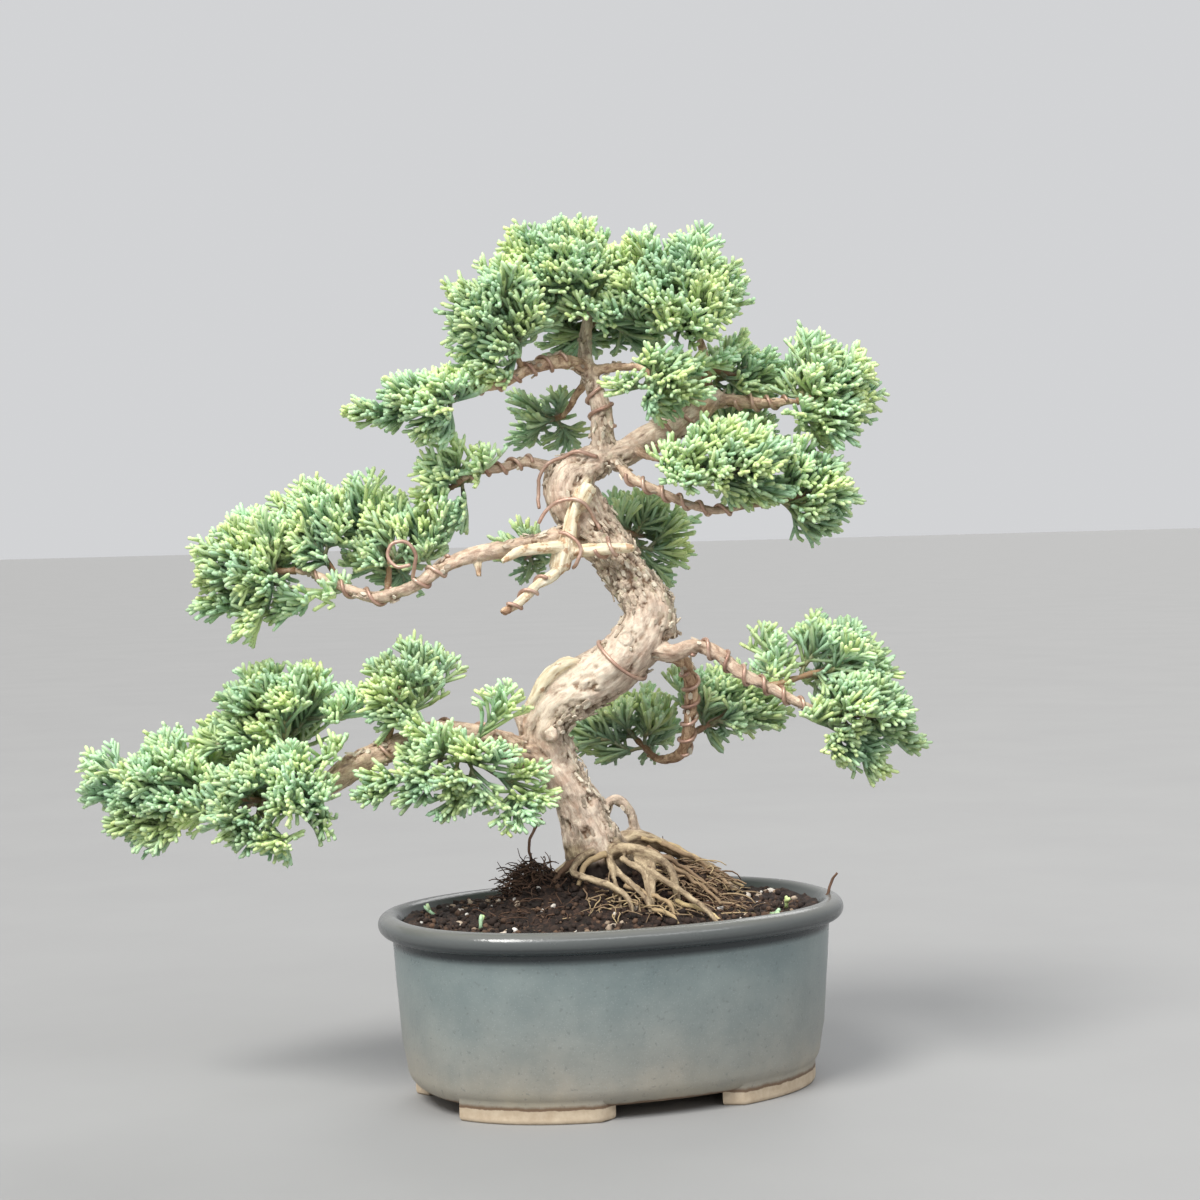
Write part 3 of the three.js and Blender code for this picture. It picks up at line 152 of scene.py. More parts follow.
# Stations of (right, back, up, radius) along each limb of the wood.
LIMBS = {
    "trunk": [
        (-3, 2, 48, 6), (-3, 2, 60, 11), (-3, 2, 71, 12), (-6, 1, 82, 9.8), (-9, 0, 91, 7.9),
        (-14, 0, 102, 7.2), (-19, 2, 112, 7.5), (-22, 3, 121, 8.7), (-18, 2, 129, 9.4),
        (-8, 0, 136, 9.3), (3, -2, 143, 9), (11, -4, 152, 8.8), (15, -4, 161, 8.4),
        (12, -3, 167, 8), (8, -2, 173, 7.6), (2, 0, 182, 8), (-5, 1, 190, 8.6), (-10, 1, 198, 9.4),
        (-11, 0, 205, 8.8), (-5, 0, 210.5, 6.2), (1, 0, 212, 4.8), (8, 1, 214, 4.6),
        (16, 3, 219, 4.9), (25, 5, 223, 4.8), (32, 6, 228, 4.6), (38, 7, 233, 4.2),
        (40, 7, 235, 2.8),
    ],
    "lower_left": [
        (-20, 0, 109, 5), (-33, -6, 116, 5), (-46, -11, 121, 4.3), (-59, -14, 122, 4),
        (-73, -15, 117, 4.2), (-85, -15, 112, 4.4), (-96, -14, 105, 3.6), (-108, -13, 102, 2.8),
        (-122, -10, 101, 2), (-134, -8, 102, 0.6),
    ],
    "mid_left": [
        (-4, 0, 190, 3.8), (-11, -4, 188, 3.6), (-21, -10, 185, 3.2), (-33, -14, 183, 3),
        (-44, -16, 181, 2.6), (-54, -18, 177, 2.3), (-64, -18, 171, 2.1), (-76, -16, 168, 2),
        (-86, -14, 171, 1.8), (-97, -12, 176, 1.5), (-106, -10, 178, 0.6),
    ],
    "upper_left": [
        (-12, 1, 208, 2.6), (-18, 2, 210, 2.2), (-26, 2, 212, 1.8), (-34, -1, 210, 1.6),
        (-42, -3, 209, 1.5), (-50, -4, 205, 0.6),
    ],
    "stem": [
        (1, 0, 210, 4.2), (0, 0, 220, 4), (0, 1, 229, 3.5), (-2, 2, 236, 3), (-4, 3, 242, 2.8),
        (-5, 4, 250, 2.3), (-4, 5, 259, 1.9), (-3, 5, 268, 0.6),
    ],
    "apex_left": [
        (-4, 3, 243, 2.5), (-13, -3, 245, 2.3), (-23, -8, 243, 2.2), (-33, -11, 238, 1.8),
        (-43, -13, 236, 1.4), (-49, -14, 236, 0.6),
    ],
    "apex_front": [
        (-3, 3, 242, 2), (6, -4, 243, 1.6), (13, -10, 242, 1.3), (17, -13, 240, 0.6),
    ],
    "back_drop": [
        (-3, 3, 240, 1.6), (-8, 9, 235, 1.4), (-11, 14, 230, 1.2), (-14, 18, 227, 0.6),
    ],
    "top_right": [
        (36, 7, 231, 2.8), (45, 5, 231, 2.2), (53, 3, 230, 2), (61, 1, 230, 1.6), (68, 0, 230, 0.6),
    ],
    "knot_up": [
        (33, 6, 229, 2.6), (36, 9, 238, 2), (35, 9, 248, 1.7), (33, 6, 257, 0.6),
    ],
    "knot_back": [
        (30, 6, 226, 2.2), (36, 13, 224, 1.7), (41, 19, 220, 0.6),
    ],
    "right_long": [
        (2, 0, 213, 2), (6, -6, 209, 1.8), (10, -10, 205, 1.7), (16, -13, 202, 1.6),
        (22, -15, 199, 1.5), (29, -16, 196, 1.4), (37, -16, 194, 1.3), (47, -13, 195, 1.2),
        (56, -11, 196, 0.6),
    ],
    "right_short": [
        (10, 1, 216, 1.8), (15, -6, 213, 1.4), (22, -13, 211, 1.2), (30, -17, 210, 0.6),
    ],
    "lower_right": [
        (7, -4, 149, 4), (15, -7, 148, 3.4), (22, -8, 147, 3), (29, -9, 149, 2.5),
        (36, -10, 147, 2.3), (44, -12, 140, 2.1), (55, -13, 134, 1.9), (64, -14, 129, 1.6),
        (73, -14, 126, 0.6),
    ],
    "lower_back": [
        (18, -6, 147, 2.8), (25, -1, 144, 2.5), (28, 4, 137, 2.3), (28, 8, 128, 2.2),
        (27, 13, 118, 2.2), (25, 19, 111, 2), (19, 27, 108, 1.6), (13, 33, 109, 0.6),
    ],
    "back_right": [
        (1, 2, 182, 2.4), (3, 16, 186, 1.9), (7, 32, 187, 1.5), (10, 40, 187, 0.6),
    ],
    "back_left": [
        (-6, 2, 191, 2.4), (-13, 18, 188, 1.9), (-22, 32, 184, 1.5), (-25, 38, 182, 0.6),
    ],
    "dead_front": [
        (-6, -6, 205, 1.4), (-9, -9, 198, 2), (-11, -10.5, 190, 2.2), (-12, -11, 182, 2.4),
        (-16, -13, 175, 1.9), (-22, -16, 171, 1.6), (-28, -20, 166, 1.5), (-34, -23, 162, 1.1),
    ],
    "dead_cross": [
        (-13, -10, 181, 2.2), (-4, -12, 182, 2), (4, -14, 182.5, 1.7), (10, -15, 182, 1.2),
    ],
    "dead_flap": [
        (-28, 0, 124, 1), (-25, -4, 132, 2), (-20, -5, 140, 2.2), (-14, -5, 144, 2),
        (-7, -4, 144, 1.2),
    ],
    "knuckle": [
        (-6, 3, 86, 2.4), (-2, 4, 94, 2), (2, 5, 97, 1.8), (6, 6, 93, 1.8), (8, 7, 86, 1.9),
        (9, 8, 77, 2.4),
    ],
    "root_front_arch": [
        (-3, -4, 80, 2.6), (6, -11, 82, 1.9), (13, -15, 80.5, 1.6), (19, -17, 76, 1.5),
        (21, -19, 69, 1.3), (21, -20, 60, 0.9),
    ],
    "root_front_loop": [
        (-4, -6, 81, 1.7), (-10, -12, 79.5, 1.4), (-13, -16, 75.5, 1.2), (-8, -20, 73.5, 1.2),
        (-1, -23, 71.5, 1.2), (5, -27, 67.5, 1.1), (7, -29, 60, 0.7),
    ],
    "root_front_middle": [
        (-2, -7, 79, 1.6), (1, -15, 75.5, 1.3), (5, -20, 72.5, 1.1), (11, -25, 67, 1),
        (13, -28, 60, 0.7),
    ],
    "root_front_right": [
        (8, -12, 79, 1.3), (15, -20, 74, 1.2), (24, -27, 68.5, 1.1), (31, -33, 63.5, 1),
        (36, -37, 57, 0.6),
    ],
    "root_right_ridge": [
        (-1, 3, 82, 3.2), (9, 6, 83.5, 2.6), (17, 9, 80.5, 2.2), (26, 13, 75.5, 2),
        (35, 18, 70, 1.7), (44, 22, 61, 1),
    ],
    "root_left": [
        (-8, 1, 76, 4), (-18, -3, 72, 2.8), (-28, -8, 66.5, 2), (-38, -12, 58, 1.1),
    ],
    "root_back": [
        (-3, 8, 77, 3.6), (-8, 18, 72, 2.4), (-12, 27, 65.5, 1.6), (-15, 34, 57, 0.9),
    ],
    "buried_left": [
        (-6, 2, 62, 4.5), (-22, 8, 50, 2.6), (-38, 6, 36, 1.3),
    ],
    "buried_right": [
        (0, 0, 62, 4.5), (18, -8, 48, 2.6), (36, -8, 34, 1.3),
    ],
    "dead_left": [
        (-12, -11, 183, 2), (-20, -15.5, 183, 1.9), (-28, -19, 182, 1.6), (-34, -20, 179, 1),
    ],
    "bare_stub": [
        (-42, -16, 181, 1.3), (-41.5, -17.5, 174, 0.8),
    ],
    "bark_spur": [
        (-1.5, 3, 91, 1.6), (-4, 3, 98, 1.2), (-6, 2.5, 102.5, 0.6),
    ],
    "elbow_spur": [
        (17, -4, 158, 2.4), (21.5, -4, 163, 1.5), (22.2, -4, 167, 0.8),
    ],
    "elbow_point": [
        (14, -4, 155, 5), (21, -4, 153.8, 2.8), (25, -4, 153, 0.8),
    ],
    "root_front_inner": [
        (-1, -11, 79.5, 1.2), (-0.5, -16, 77, 1), (0.8, -20.5, 72.5, 0.9), (2.5, -24, 66, 0.7),
        (3, -25, 61, 0.6),
    ],
    "root_front_hook": [
        (3, -12, 79, 1.2), (7, -15.5, 76.8, 1), (10, -17.5, 75, 1), (11.3, -20, 70.5, 0.9),
        (11.8, -23, 65, 0.8), (12, -24, 60, 0.6),
    ],
    "root_front_pillar": [
        (13, -14.5, 79.5, 1.2), (13.3, -18, 74, 1.2), (13.2, -22, 69, 1), (13, -25, 61, 0.7),
    ],
}

# Small lumps on the wood: a cut scar, a torn bracket of bark and thick parts of the deadwood.
KNOBS = {
    "scar": [(-18, -4, 121, 2.6), (-19.5, -10.5, 120.5, 2.6)],
    "bracket": [(-29, 0, 121, 1.2), (-31, -1, 127, 1.2)],
    "jin_block": [(-13.5, -10.5, 183, 3.6), (-15, -11.5, 176, 3.4)],
    "jin_top": [(-5, -6, 203, 3.2), (-8, -9, 197, 2.6)],
    "trunk_knot": [(3, -3, 150, 3), (7, -11, 152, 2.2)],
}

DEAD_LIMBS = (
    "dead_front", "dead_cross", "dead_flap", "dead_left", "bare_stub", "jin_block", "jin_top",
)
ROOT_LIMBS = tuple(name for name in LIMBS if name.startswith(("root", "buried")))

# How brown the bark of a limb is, from 0 to 1.
BROWN_LIMBS = {
    "apex_left": 0.75, "apex_front": 0.7, "back_drop": 0.9, "knot_up": 0.8, "knot_back": 0.9,
    "top_right": 0.65, "right_long": 0.45, "right_short": 0.7, "upper_left": 0.35, "mid_left": 0.3,
    "lower_left": 0.45, "lower_right": 0.3, "lower_back": 0.95, "back_right": 0.6, "back_left": 0.6,
}

# Parts of the bark as balls of (right, back, up, radius).
ROUGH_BARK = (
    (8, -3, 172, 15), (19, -4, 156, 9), (-10, -2, 124, 11), (2, 0, 90, 9), (5, -2, 208, 7),
    (-1, -3, 186, 9), (-6, -2, 108, 8),
)
CREAM_BARK = ((-18, -6, 128, 9), (-11, -7, 137, 9), (-2, -8, 143, 9), (7, -10, 153, 7))
EARTHY_BARK = ((-3, 2, 70, 12), (4, -4, 80, 7), (-12, -4, 78, 7))
DARK_KNOTS = ((34.5, 5, 229.5, 5), (36, 8, 238, 5), (-33, -22, 163, 3.5), (-42, -16, 175, 3))

# Training wires: the limb, from and to as shares of its length, turns and the first angle.
WIRES = {
    "wire_trunk_band": ("trunk", 0.447, 0.474, 1.3, 2.2),
    "wire_jin_cross": ("dead_cross", 0.45, 0.75, 1.3, 0),
    "wire_jin_tip": ("dead_front", 0.66, 0.95, 2.2, 0),
    "wire_right_arm": ("trunk", 0.88, 0.94, 2, 0.6),
    "wire_lower_left": ("lower_left", 0.22, 0.5, 3, 1.2),
    "wire_mid_left_inner": ("mid_left", 0.46, 0.58, 2, 1),
    "wire_mid_left_outer": ("mid_left", 0.66, 0.93, 3, 2),
    "wire_upper_left": ("upper_left", 0.3, 0.86, 4, 0),
    "wire_stem": ("stem", 0.22, 0.44, 2, 1),
    "wire_apex_left": ("apex_left", 0.2, 0.85, 5, 0),
    "wire_top_right": ("top_right", 0.3, 0.85, 3, 0),
    "wire_right_long": ("right_long", 0.2, 0.85, 6, 0),
    "wire_lower_right": ("lower_right", 0.3, 0.9, 6, 1),
    "wire_lower_back": ("lower_back", 0.2, 0.7, 5, 0),
}

# Wires that only lie on the wood.
LAID_WIRES = {
    "wire_upper_bend": [
        (-1, -6, 213), (-4, -6, 214), (-8, -6, 215), (-12, -5, 215), (-15.5, -4, 213),
        (-18.5, -3, 211), (-21, -2, 207.5), (-22, -1, 203.5), (-22, -1, 199.5), (-21.5, -2, 195.5),
    ],
    "wire_front_arc": [
        (-22, -9, 190.5), (-20.5, -9, 193.5), (-18, -9, 196.5), (-14.5, -11, 198.5),
        (-10.5, -12, 199.5), (-7, -12, 198), (-4.5, -10, 195), (-2.5, -8, 191.5), (-0.5, -8, 188.5),
    ],
    "wire_jin_band": [
        (-15.5, -12, 188.5), (-12.5, -13, 187.5), (-10, -14, 186), (-8, -15, 183.5),
        (-8, -15, 180.5), (-9.5, -14, 177.5), (-10, -11, 175.5),
    ],
}

# The free end of a wire, bent by hand.
WIRE_TAILS = {
    "wire_mid_left_inner": [
        (-62.5, -22, 178), (-62, -22.5, 182), (-65, -23, 186), (-69.5, -23.5, 185.5),
        (-71, -24, 181.5), (-68, -25, 178), (-63.5, -26, 178.5),
    ],
}

# Foliage pads: the limb and the place on it, the pad's middle and its half sizes.
PADS = {
    "low_left_tip": ("lower_left", 0.97, (-153, -6, 104), (22, 18, 21)),
    "low_left_top": ("lower_left", 0.8, (-116, -2, 131), (25, 18, 19)),
    "low_left_front": ("lower_left", 0.84, (-116, -26, 102), (27, 16, 20)),
    "low_left_back": ("lower_left", 0.72, (-124, 20, 117), (29, 20, 19)),
    "low_left_crest": ("lower_left", 0.5, (-66, -18, 139), (16, 15, 16)),
    "low_left_hanging": ("lower_left", 0.33, (-53, -33, 109), (28, 15, 14)),
    "mid_left_tip": ("mid_left", 0.97, (-120.5, -8, 176.5), (20, 17, 19)),
    "mid_left_top": ("mid_left", 0.82, (-97, 4, 189.5), (28, 20, 16)),
    "mid_left_inner": ("mid_left", 0.68, (-71, 2, 186), (21, 16, 18)),
    "mid_left_sprig": ("upper_left", 0.93, (-50, -5, 203), (10, 9, 10)),
    "apex_far_left": ("apex_left", 0.96, (-61, -14, 230), (23, 14, 9)),
    "apex_left": ("apex_left", 0.5, (-35, -16, 262), (20, 17, 18)),
    "apex_top": ("stem", 0.96, (-15, -3, 276), (24, 19, 20)),
    "apex_right": ("knot_up", 0.93, (24, -5, 266.5), (25.5, 19, 21)),
    "apex_back": ("stem", 0.8, (2, 30, 264), (31, 20, 22)),
    "apex_front": ("apex_front", 0.9, (19.5, -18, 234.5), (15, 12, 14)),
    "back_drop": ("back_drop", 0.92, (-19, 24, 226), (15, 14, 12)),
    "knot_right": ("knot_up", 0.5, (49, 20, 239), (17, 15, 13)),
    "top_right": ("top_right", 0.93, (76.5, 0, 232), (17, 16, 20)),
    "right_front": ("right_short", 0.92, (44, -22, 206.5), (25, 14, 14)),
    "right_low": ("right_long", 0.94, (71, -8, 199), (16, 15, 17)),
    "right_back": ("knot_back", 0.9, (50, 28, 216), (18, 16, 17)),
    "back_right": ("back_right", 0.93, (13.5, 50, 185), (20, 16, 18)),
    "back_left": ("back_left", 0.93, (-28, 46, 178), (12, 14, 17)),
    "low_right_top": ("lower_right", 0.7, (80.5, -2, 142), (22, 17, 16)),
    "low_right_tip": ("lower_right", 0.95, (87, -17, 124), (23, 17, 18)),
    "low_back_left": ("lower_back", 0.93, (5.5, 38, 118.5), (19, 18, 15)),
    "low_back_right": ("lower_back", 0.6, (43, 22, 125.5), (21, 16, 14)),
}

# Pads whose fans stand further apart than the others'.
OPEN_PADS = {
    "low_left_hanging": 1.3, "mid_left_sprig": 1.1, "back_drop": 1.3, "back_right": 1.2,
    "back_left": 1.2,
    "low_back_left": 1.25, "low_right_tip": 1.15, "low_right_top": 1.1, "low_left_crest": 1.1,
}

# Fans outside their pad's oval, which close it up with its neighbours.
LOOSE_FANS = {
    "low_left_tip": [(-171, -6, 104), (-169, -6, 112), (-160, -8, 96)],
    "mid_left_tip": [
        (-89, -13, 168), (-100, -10, 166), (-108, -8, 166), (-116, -14, 163), (-134, -6, 167),
    ],
    "mid_left_inner": [(-61, -5, 178), (-57, -6, 192)],
    "mid_left_sprig": [(-56, -8, 207), (-50, -6, 209), (-41, -6, 206), (-48, -6, 197)],
    "apex_far_left": [(-76, -14, 229)],
    "low_left_top": [(-86, -16, 131), (-94, -10, 126), (-136, -6, 122)],
    "low_left_front": [(-92, -24, 117), (-97, -24, 94), (-136, -18, 99)],
    "low_left_hanging": [
        (-78, -28, 103), (-72, -30, 108), (-27, -30, 101), (-36, -30, 130), (-35, -30, 98),
        (-31, -30, 109), (-62, -28, 121),
    ],
    "apex_left": [(-44, -14, 242), (-36, -16, 246), (-26, -10, 248), (-32, -14, 241)],
    "apex_top": [(-6, -8, 262), (0, -4, 258)],
    "apex_right": [(8, -10, 262), (30, -4, 256), (8, -5, 280), (17, -5, 281), (31, -5, 280)],
    "apex_front": [(30, -12, 240), (40, -4, 243)],
    "right_front": [(24, -20, 206), (30, -22, 203)],
    "top_right": [(68, -5, 226), (84, -4, 238)],
    "low_right_top": [(56, -5, 144), (60, -8, 140), (57, -8, 136)],
    "low_right_tip": [(86, -16, 112), (100, -14, 116), (73, -14, 122)],
    "back_right": [(7, 38, 189), (10, 44, 180)],
    "back_drop": [(-17, 24, 230)],
    "low_back_right": [(28, 20, 132)],
    "low_back_left": [(-6, 34, 116)],
}

# Roots that lie bare on the soil: stations of (right, back, up, radius), then how pale they are.
SURFACE_ROOTS = (
    ((4.1, -20, 71.2, 0.9), (9.6, -23, 69.5, 0.8), (12.2, -24, 66, 0.6), 0.75),
    ((12.2, -23, 68.1, 0.8), (16.1, -24, 67.2, 0.8), (18.9, -27, 64.6, 0.7), (20, -29, 61, 0.6), 0.8),
    ((12.7, -28, 64, 0.8), (16, -31, 63.4, 0.8), (19.9, -34, 61.7, 0.6), (22, -36, 59, 0.5), 0.75),
    ((21, -20, 66, 0.8), (23.6, -24, 64.9, 0.8), (29, -27, 63.7, 0.7), (35, -31, 60.6, 0.4), 0.98),
    ((-10, -8, 79, 1.6), (-16, -12, 76, 1.2), (-20, -14, 71, 0.9), 0.4),
    ((-2, -12, 80, 1.3), (-7, -15, 79.5, 1.1), (-10, -17, 76, 1), (-11, -18, 71, 0.8), 0.75),
    ((17, 4, 82, 1), (24, 1, 78.5, 0.9), (30, 4, 75, 0.8), (40, 0, 67, 0.6), 0.6),
    ((12, -2, 81, 1), (18, -7, 78, 0.9), (25, -5, 74, 0.7), (35, -11, 66, 0.5), 0.5),
    ((14, -8, 79, 0.9), (20, -12, 75.5, 0.8), (27, -11, 71, 0.7), (36, -18, 64, 0.5), 0.65),
    ((10, 3, 84, 0.8), (20, 7, 80.5, 0.8), (31, 5, 74.5, 0.7), (45, 13, 65, 0.5), 0.75),
    ((-22.8, -5, 92, 0.6), (-27.6, -8, 85.6, 0.5), (-26.7, -10, 77, 0.4), 0.35),
    ((72.5, 9, 60, 0.5), (74, 10, 64.5, 0.5), (77.2, 10, 69.3, 0.4), 0.4),
)

# Bundles of fine roots: middle and spread on the tree's plan, count, lengths, rises, thickness,
# how high they pile up and paleness.
ROOT_BUNDLES = (
    ((-27, -11), (10, 7), 260, (4, 10), (-0.1, 1.1), 0.36, 6, 0.17),
    ((-24, -26), (13, 6), 50, (4, 9), (0.0, 0.4), 0.3, 1, 0.25),
    ((6, -22), (16, 7), 80, (6, 14), (-0.1, 0.4), 0.42, 2, 0.7),
    ((30, -8), (14, 12), 110, (5, 12), (-0.05, 0.5), 0.32, 2, 0.4),
    ((26, -2), (16, 13), 150, (7, 17), (-0.3, 0.3), 0.5, 3, 0.65),
    ((-6, 16), (24, 8), 50, (5, 12), (-0.05, 0.5), 0.3, 1, 0.3),
)

FALLEN_LEAVES = ((-43, -38), (52, -20), (58, -8), (-60, -5), (30, 34))


# Places and pieces.


def pot_place(points):
    return np.asarray(points, float) * MM + POT_MIDDLE


def turned_to_frame(points):
    points = np.asarray(points, float)
    cos, sin = math.cos(TREE_TURN), math.sin(TREE_TURN)
    turned = points.copy()
    turned[..., 0] = cos * points[..., 0] - sin * points[..., 1]
    turned[..., 1] = sin * points[..., 0] + cos * points[..., 1]
    return turned


def tree_place(points):
    return pot_place(turned_to_frame(points))


def plan_place(tree_point):
    """A (right, back) place of the tree's plan in the pot's own directions."""
    return turned_to_frame((*tree_point, 0))[:2]


def unit(vectors):
    vectors = np.asarray(vectors, float)
    return vectors / np.linalg.norm(vectors, axis=-1, keepdims=True)


def object_of(name, data):
    made = bpy.data.objects.new(name, data)
    scene.collection.objects.link(made)
    return made


def piece_of(name, points, faces, material):
    mesh = bpy.data.meshes.new(name)
    mesh.from_pydata(np.asarray(points).tolist(), [], faces)
    mesh.shade_smooth()
    mesh.materials.append(material)
    return object_of(name, mesh)


def settle(piece, slot, *nodes):
    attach(piece, "root")
    if nodes:
        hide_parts(*nodes)


def set_values(mesh, **values):
    """Numbers for each of the mesh's points, which its material reads by name."""
    for name, numbers in values.items():
        attribute = mesh.attributes.new(name, "FLOAT", "POINT")
        attribute.data.foreach_set("value", np.asarray(numbers, np.float32))


def vectors_of(items, key):
    vectors = np.empty(len(items) * 3, np.float32)
    items.foreach_get(key, vectors)
    return vectors.reshape(-1, 3).astype(float)


def move_points(mesh, places):
    mesh.vertices.foreach_set("co", places.astype(np.float32).ravel())
    mesh.update()


def joined(shapes):
    """One list of points and one of faces from several."""
    faces = []
    start = 0
    for shape_points, shape_faces in shapes:
        faces.extend([[corner + start for corner in face] for face in shape_faces])
        start += len(shape_points)
    return np.concatenate([points for points, _ in shapes]), faces


def tinted_piece(name, shapes, tints, slot, material, place=pot_place):
    """One piece of many small shapes, each with a tint of its own."""
    points, faces = joined(shapes)
    piece = piece_of(name, place(points), faces, material)
    tints = np.repeat(tints, [len(shape_points) for shape_points, _ in shapes])
    set_values(piece.data, tint=np.clip(tints, 0, 1))
    settle(piece, slot)
    return piece


def apply_modifiers(piece):
    graph = bpy.context.evaluated_depsgraph_get()
    mesh = bpy.data.meshes.new_from_object(piece.evaluated_get(graph))
    piece.modifiers.clear()
    piece.data = mesh


# Lines that limbs, wires and roots follow, and the shapes round them.

SPAN_STEPS = 24


def spline_span(before, start, end, after):
    """Points of a centripetal Catmull-Rom curve from start up to, but without, end."""
    gaps = ((before, start), (start, end), (end, after))
    near, own, far = (np.linalg.norm(second - first) ** 0.5 for first, second in gaps)
    leave = ((start - before) / near - (end - before) / (near + own) + (end - start) / own) * own
    arrive = ((end - start) / own - (after - start) / (own + far) + (after - end) / far) * own
    t = np.linspace(0, 1, SPAN_STEPS, endpoint=False)[:, None]
    square = -3 * start + 3 * end - 2 * leave - arrive
    cube = 2 * start - 2 * end + leave + arrive
    return start + leave * t + square * t**2 + cube * t**3


def smooth_line(points, spacing):
    """Evenly spaced points of a curve through all the given ones, with their other columns."""
    points = np.asarray(points, float)
    places = points[:, :3]
    padded = np.vstack([2 * places[0] - places[1], places, 2 * places[-1] - places[-2]])
    spans = [spline_span(*padded[i : i + 4]) for i in range(len(places) - 1)]
    dense = np.vstack([*spans, places[-1:]])
    far = np.concatenate([[0], np.cumsum(np.linalg.norm(np.diff(dense, axis=0), axis=1))])
    along = np.linspace(0, far[-1], max(3, round(far[-1] / spacing) + 1))
    columns = [np.interp(along, far, column) for column in dense.T]
    stations = np.interp(along, far, np.arange(len(dense)) / SPAN_STEPS)
    columns += [np.interp(stations, np.arange(len(points)), column) for column in points.T[3:]]
    return np.stack(columns, axis=1), along


def frames_along(centres):
    """Directions of a line at each of its points: forwards, sideways and up."""
    forwards = unit(np.gradient(centres, axis=0))
    side = unit(np.cross(forwards[0], (0.31, 0.22, 0.93)))
    sides = []
    for forward in forwards:
        side = unit(side - forward * side.dot(forward))
        sides.append(side)
    sides = np.array(sides)
    return forwards, sides, np.cross(forwards, sides)


def ring_angles(count):
    return np.arange(count) * 2 * math.pi / count


def spokes(angles, first, second):
    """Directions at angles from the first direction towards the second."""
    return np.cos(angles)[..., None] * first + np.sin(angles)[..., None] * second


def ring_faces(count, corners):
    """The four-sided faces between neighbouring rings of corners."""
    faces = []
    for near in range(0, (count - 1) * corners, corners):
        far = near + corners
        for corner in range(corners):
            after = (corner + 1) % corners
            faces.append([near + corner, near + after, far + after, far + corner])
    return faces


def capped_rings(rings, first, last):
    """A closed shape of rings, each end of which meets in a point."""
    count, corners = rings.shape[:2]
    faces = ring_faces(count, corners)
    end = (count - 1) * corners
    first_tip = end + corners
    for corner in range(corners):
        after = (corner + 1) % corners
        faces.append([first_tip, after, corner])
        faces.append([first_tip + 1, end + corner, end + after])
    return np.vstack([rings.reshape(-1, 3), first, last]), faces


def tube(centres, radii, corners, fluted=0):
    """A closed tube. Its section is fluted by a share of its radius that wanders along it."""
    _, sides, ups = frames_along(centres)
    angles = ring_angles(corners)[None]
    steps = np.arange(len(centres))[:, None]
    radii = np.broadcast_to(np.asarray(radii, float), (len(centres),))[:, None]
    flutes = np.sin(3 * angles + 0.12 * steps) + 0.6 * np.sin(2 * angles - 0.19 * steps)
    reach = radii * (1 + fluted * flutes)
    rings = centres[:, None] + reach[..., None] * spokes(angles, sides[:, None], ups[:, None])
    return capped_rings(rings, centres[0], centres[-1])


# Node materials. Their ramps are lists of (position, red, green, blue).


class Paint:
    """A material's nodes, with the shader at hand."""

    def __init__(self, name, roughness, metallic=0.0):
        self.material = bpy.data.materials.new(name)
        self.material.use_nodes = True
        self.tree = self.material.node_tree
        self.shader = self.tree.nodes["Principled BSDF"]
        self.set("Roughness", roughness)
        self.set("Metallic", metallic)

    def feed(self, socket, value):
        """Link a socket to another one, or give it a value."""
        if isinstance(value, bpy.types.NodeSocket):
            self.tree.links.new(value, socket)
        elif socket.type == "RGBA":
            socket.default_value = (*value, 1)
        else:
            socket.default_value = value

    def set(self, name, value):
        self.feed(self.shader.inputs[name], value)

    def node(self, kind, inputs=None, **settings):
        made = self.tree.nodes.new("ShaderNode" + kind)
        for setting, value in settings.items():
            setattr(made, setting, value)
        for name, value in (inputs or {}).items():
            self.feed(made.inputs[name], value)
        return made

    def places(self):
        return self.node("TexCoord").outputs["Object"]

    def value(self, name):
        return self.node("Attribute", attribute_name=name).outputs["Fac"]

    def vector(self, name):
        return self.node("Attribute", attribute_name=name).outputs["Vector"]

    def stretched(self, vector, scale):
        return self.node("Mapping", {"Vector": vector, "Scale": scale}).outputs["Vector"]

    def cloud(self, vector, scale, detail=4.0, roughness=0.6, distortion=0.0):
        inputs = {"Vector": vector, "Scale": scale, "Detail": detail}
        inputs |= {"Roughness": roughness, "Distortion": distortion}
        return self.node("TexNoise", inputs).outputs["Fac"]

    def cells(self, vector, scale):
        return self.node("TexVoronoi", {"Vector": vector, "Scale": scale}).outputs["Distance"]

    def ramp(self, factor, stops):
        made = self.node("ValToRGB", {"Fac": factor})
        elements = made.color_ramp.elements
        while len(elements) < len(stops):
            elements.new(0.5)
        for element, (position, *colour) in zip(elements, stops):
            element.position = position
            element.color = (*colour, 1)
        return made.outputs["Color"]

    def mask(self, factor, *stops):
        """A ramp of greys, given as (position, level)."""
        return self.ramp(factor, [(position, *[level] * 3) for position, level in stops])

    def mixed(self, factor, first, second, blend="MIX"):
        made = self.node("Mix", data_type="RGBA", blend_type=blend)
        sockets = {socket.name: socket for socket in made.inputs if socket.enabled}
        for name, value in (("Factor", factor), ("A", first), ("B", second)):
            self.feed(sockets[name], value)
        return next(socket for socket in made.outputs if socket.enabled)

    def result(self, first, operation, second):
        return self.node("Math", {0: first, 1: second}, operation=operation).outputs[0]

    def bump(self, height, strength, distance, below=None):
        inputs = {"Height": height, "Strength": strength, "Distance": distance}
        if below is not None:
            inputs["Normal"] = below
        return self.node("Bump", inputs).outputs["Normal"]


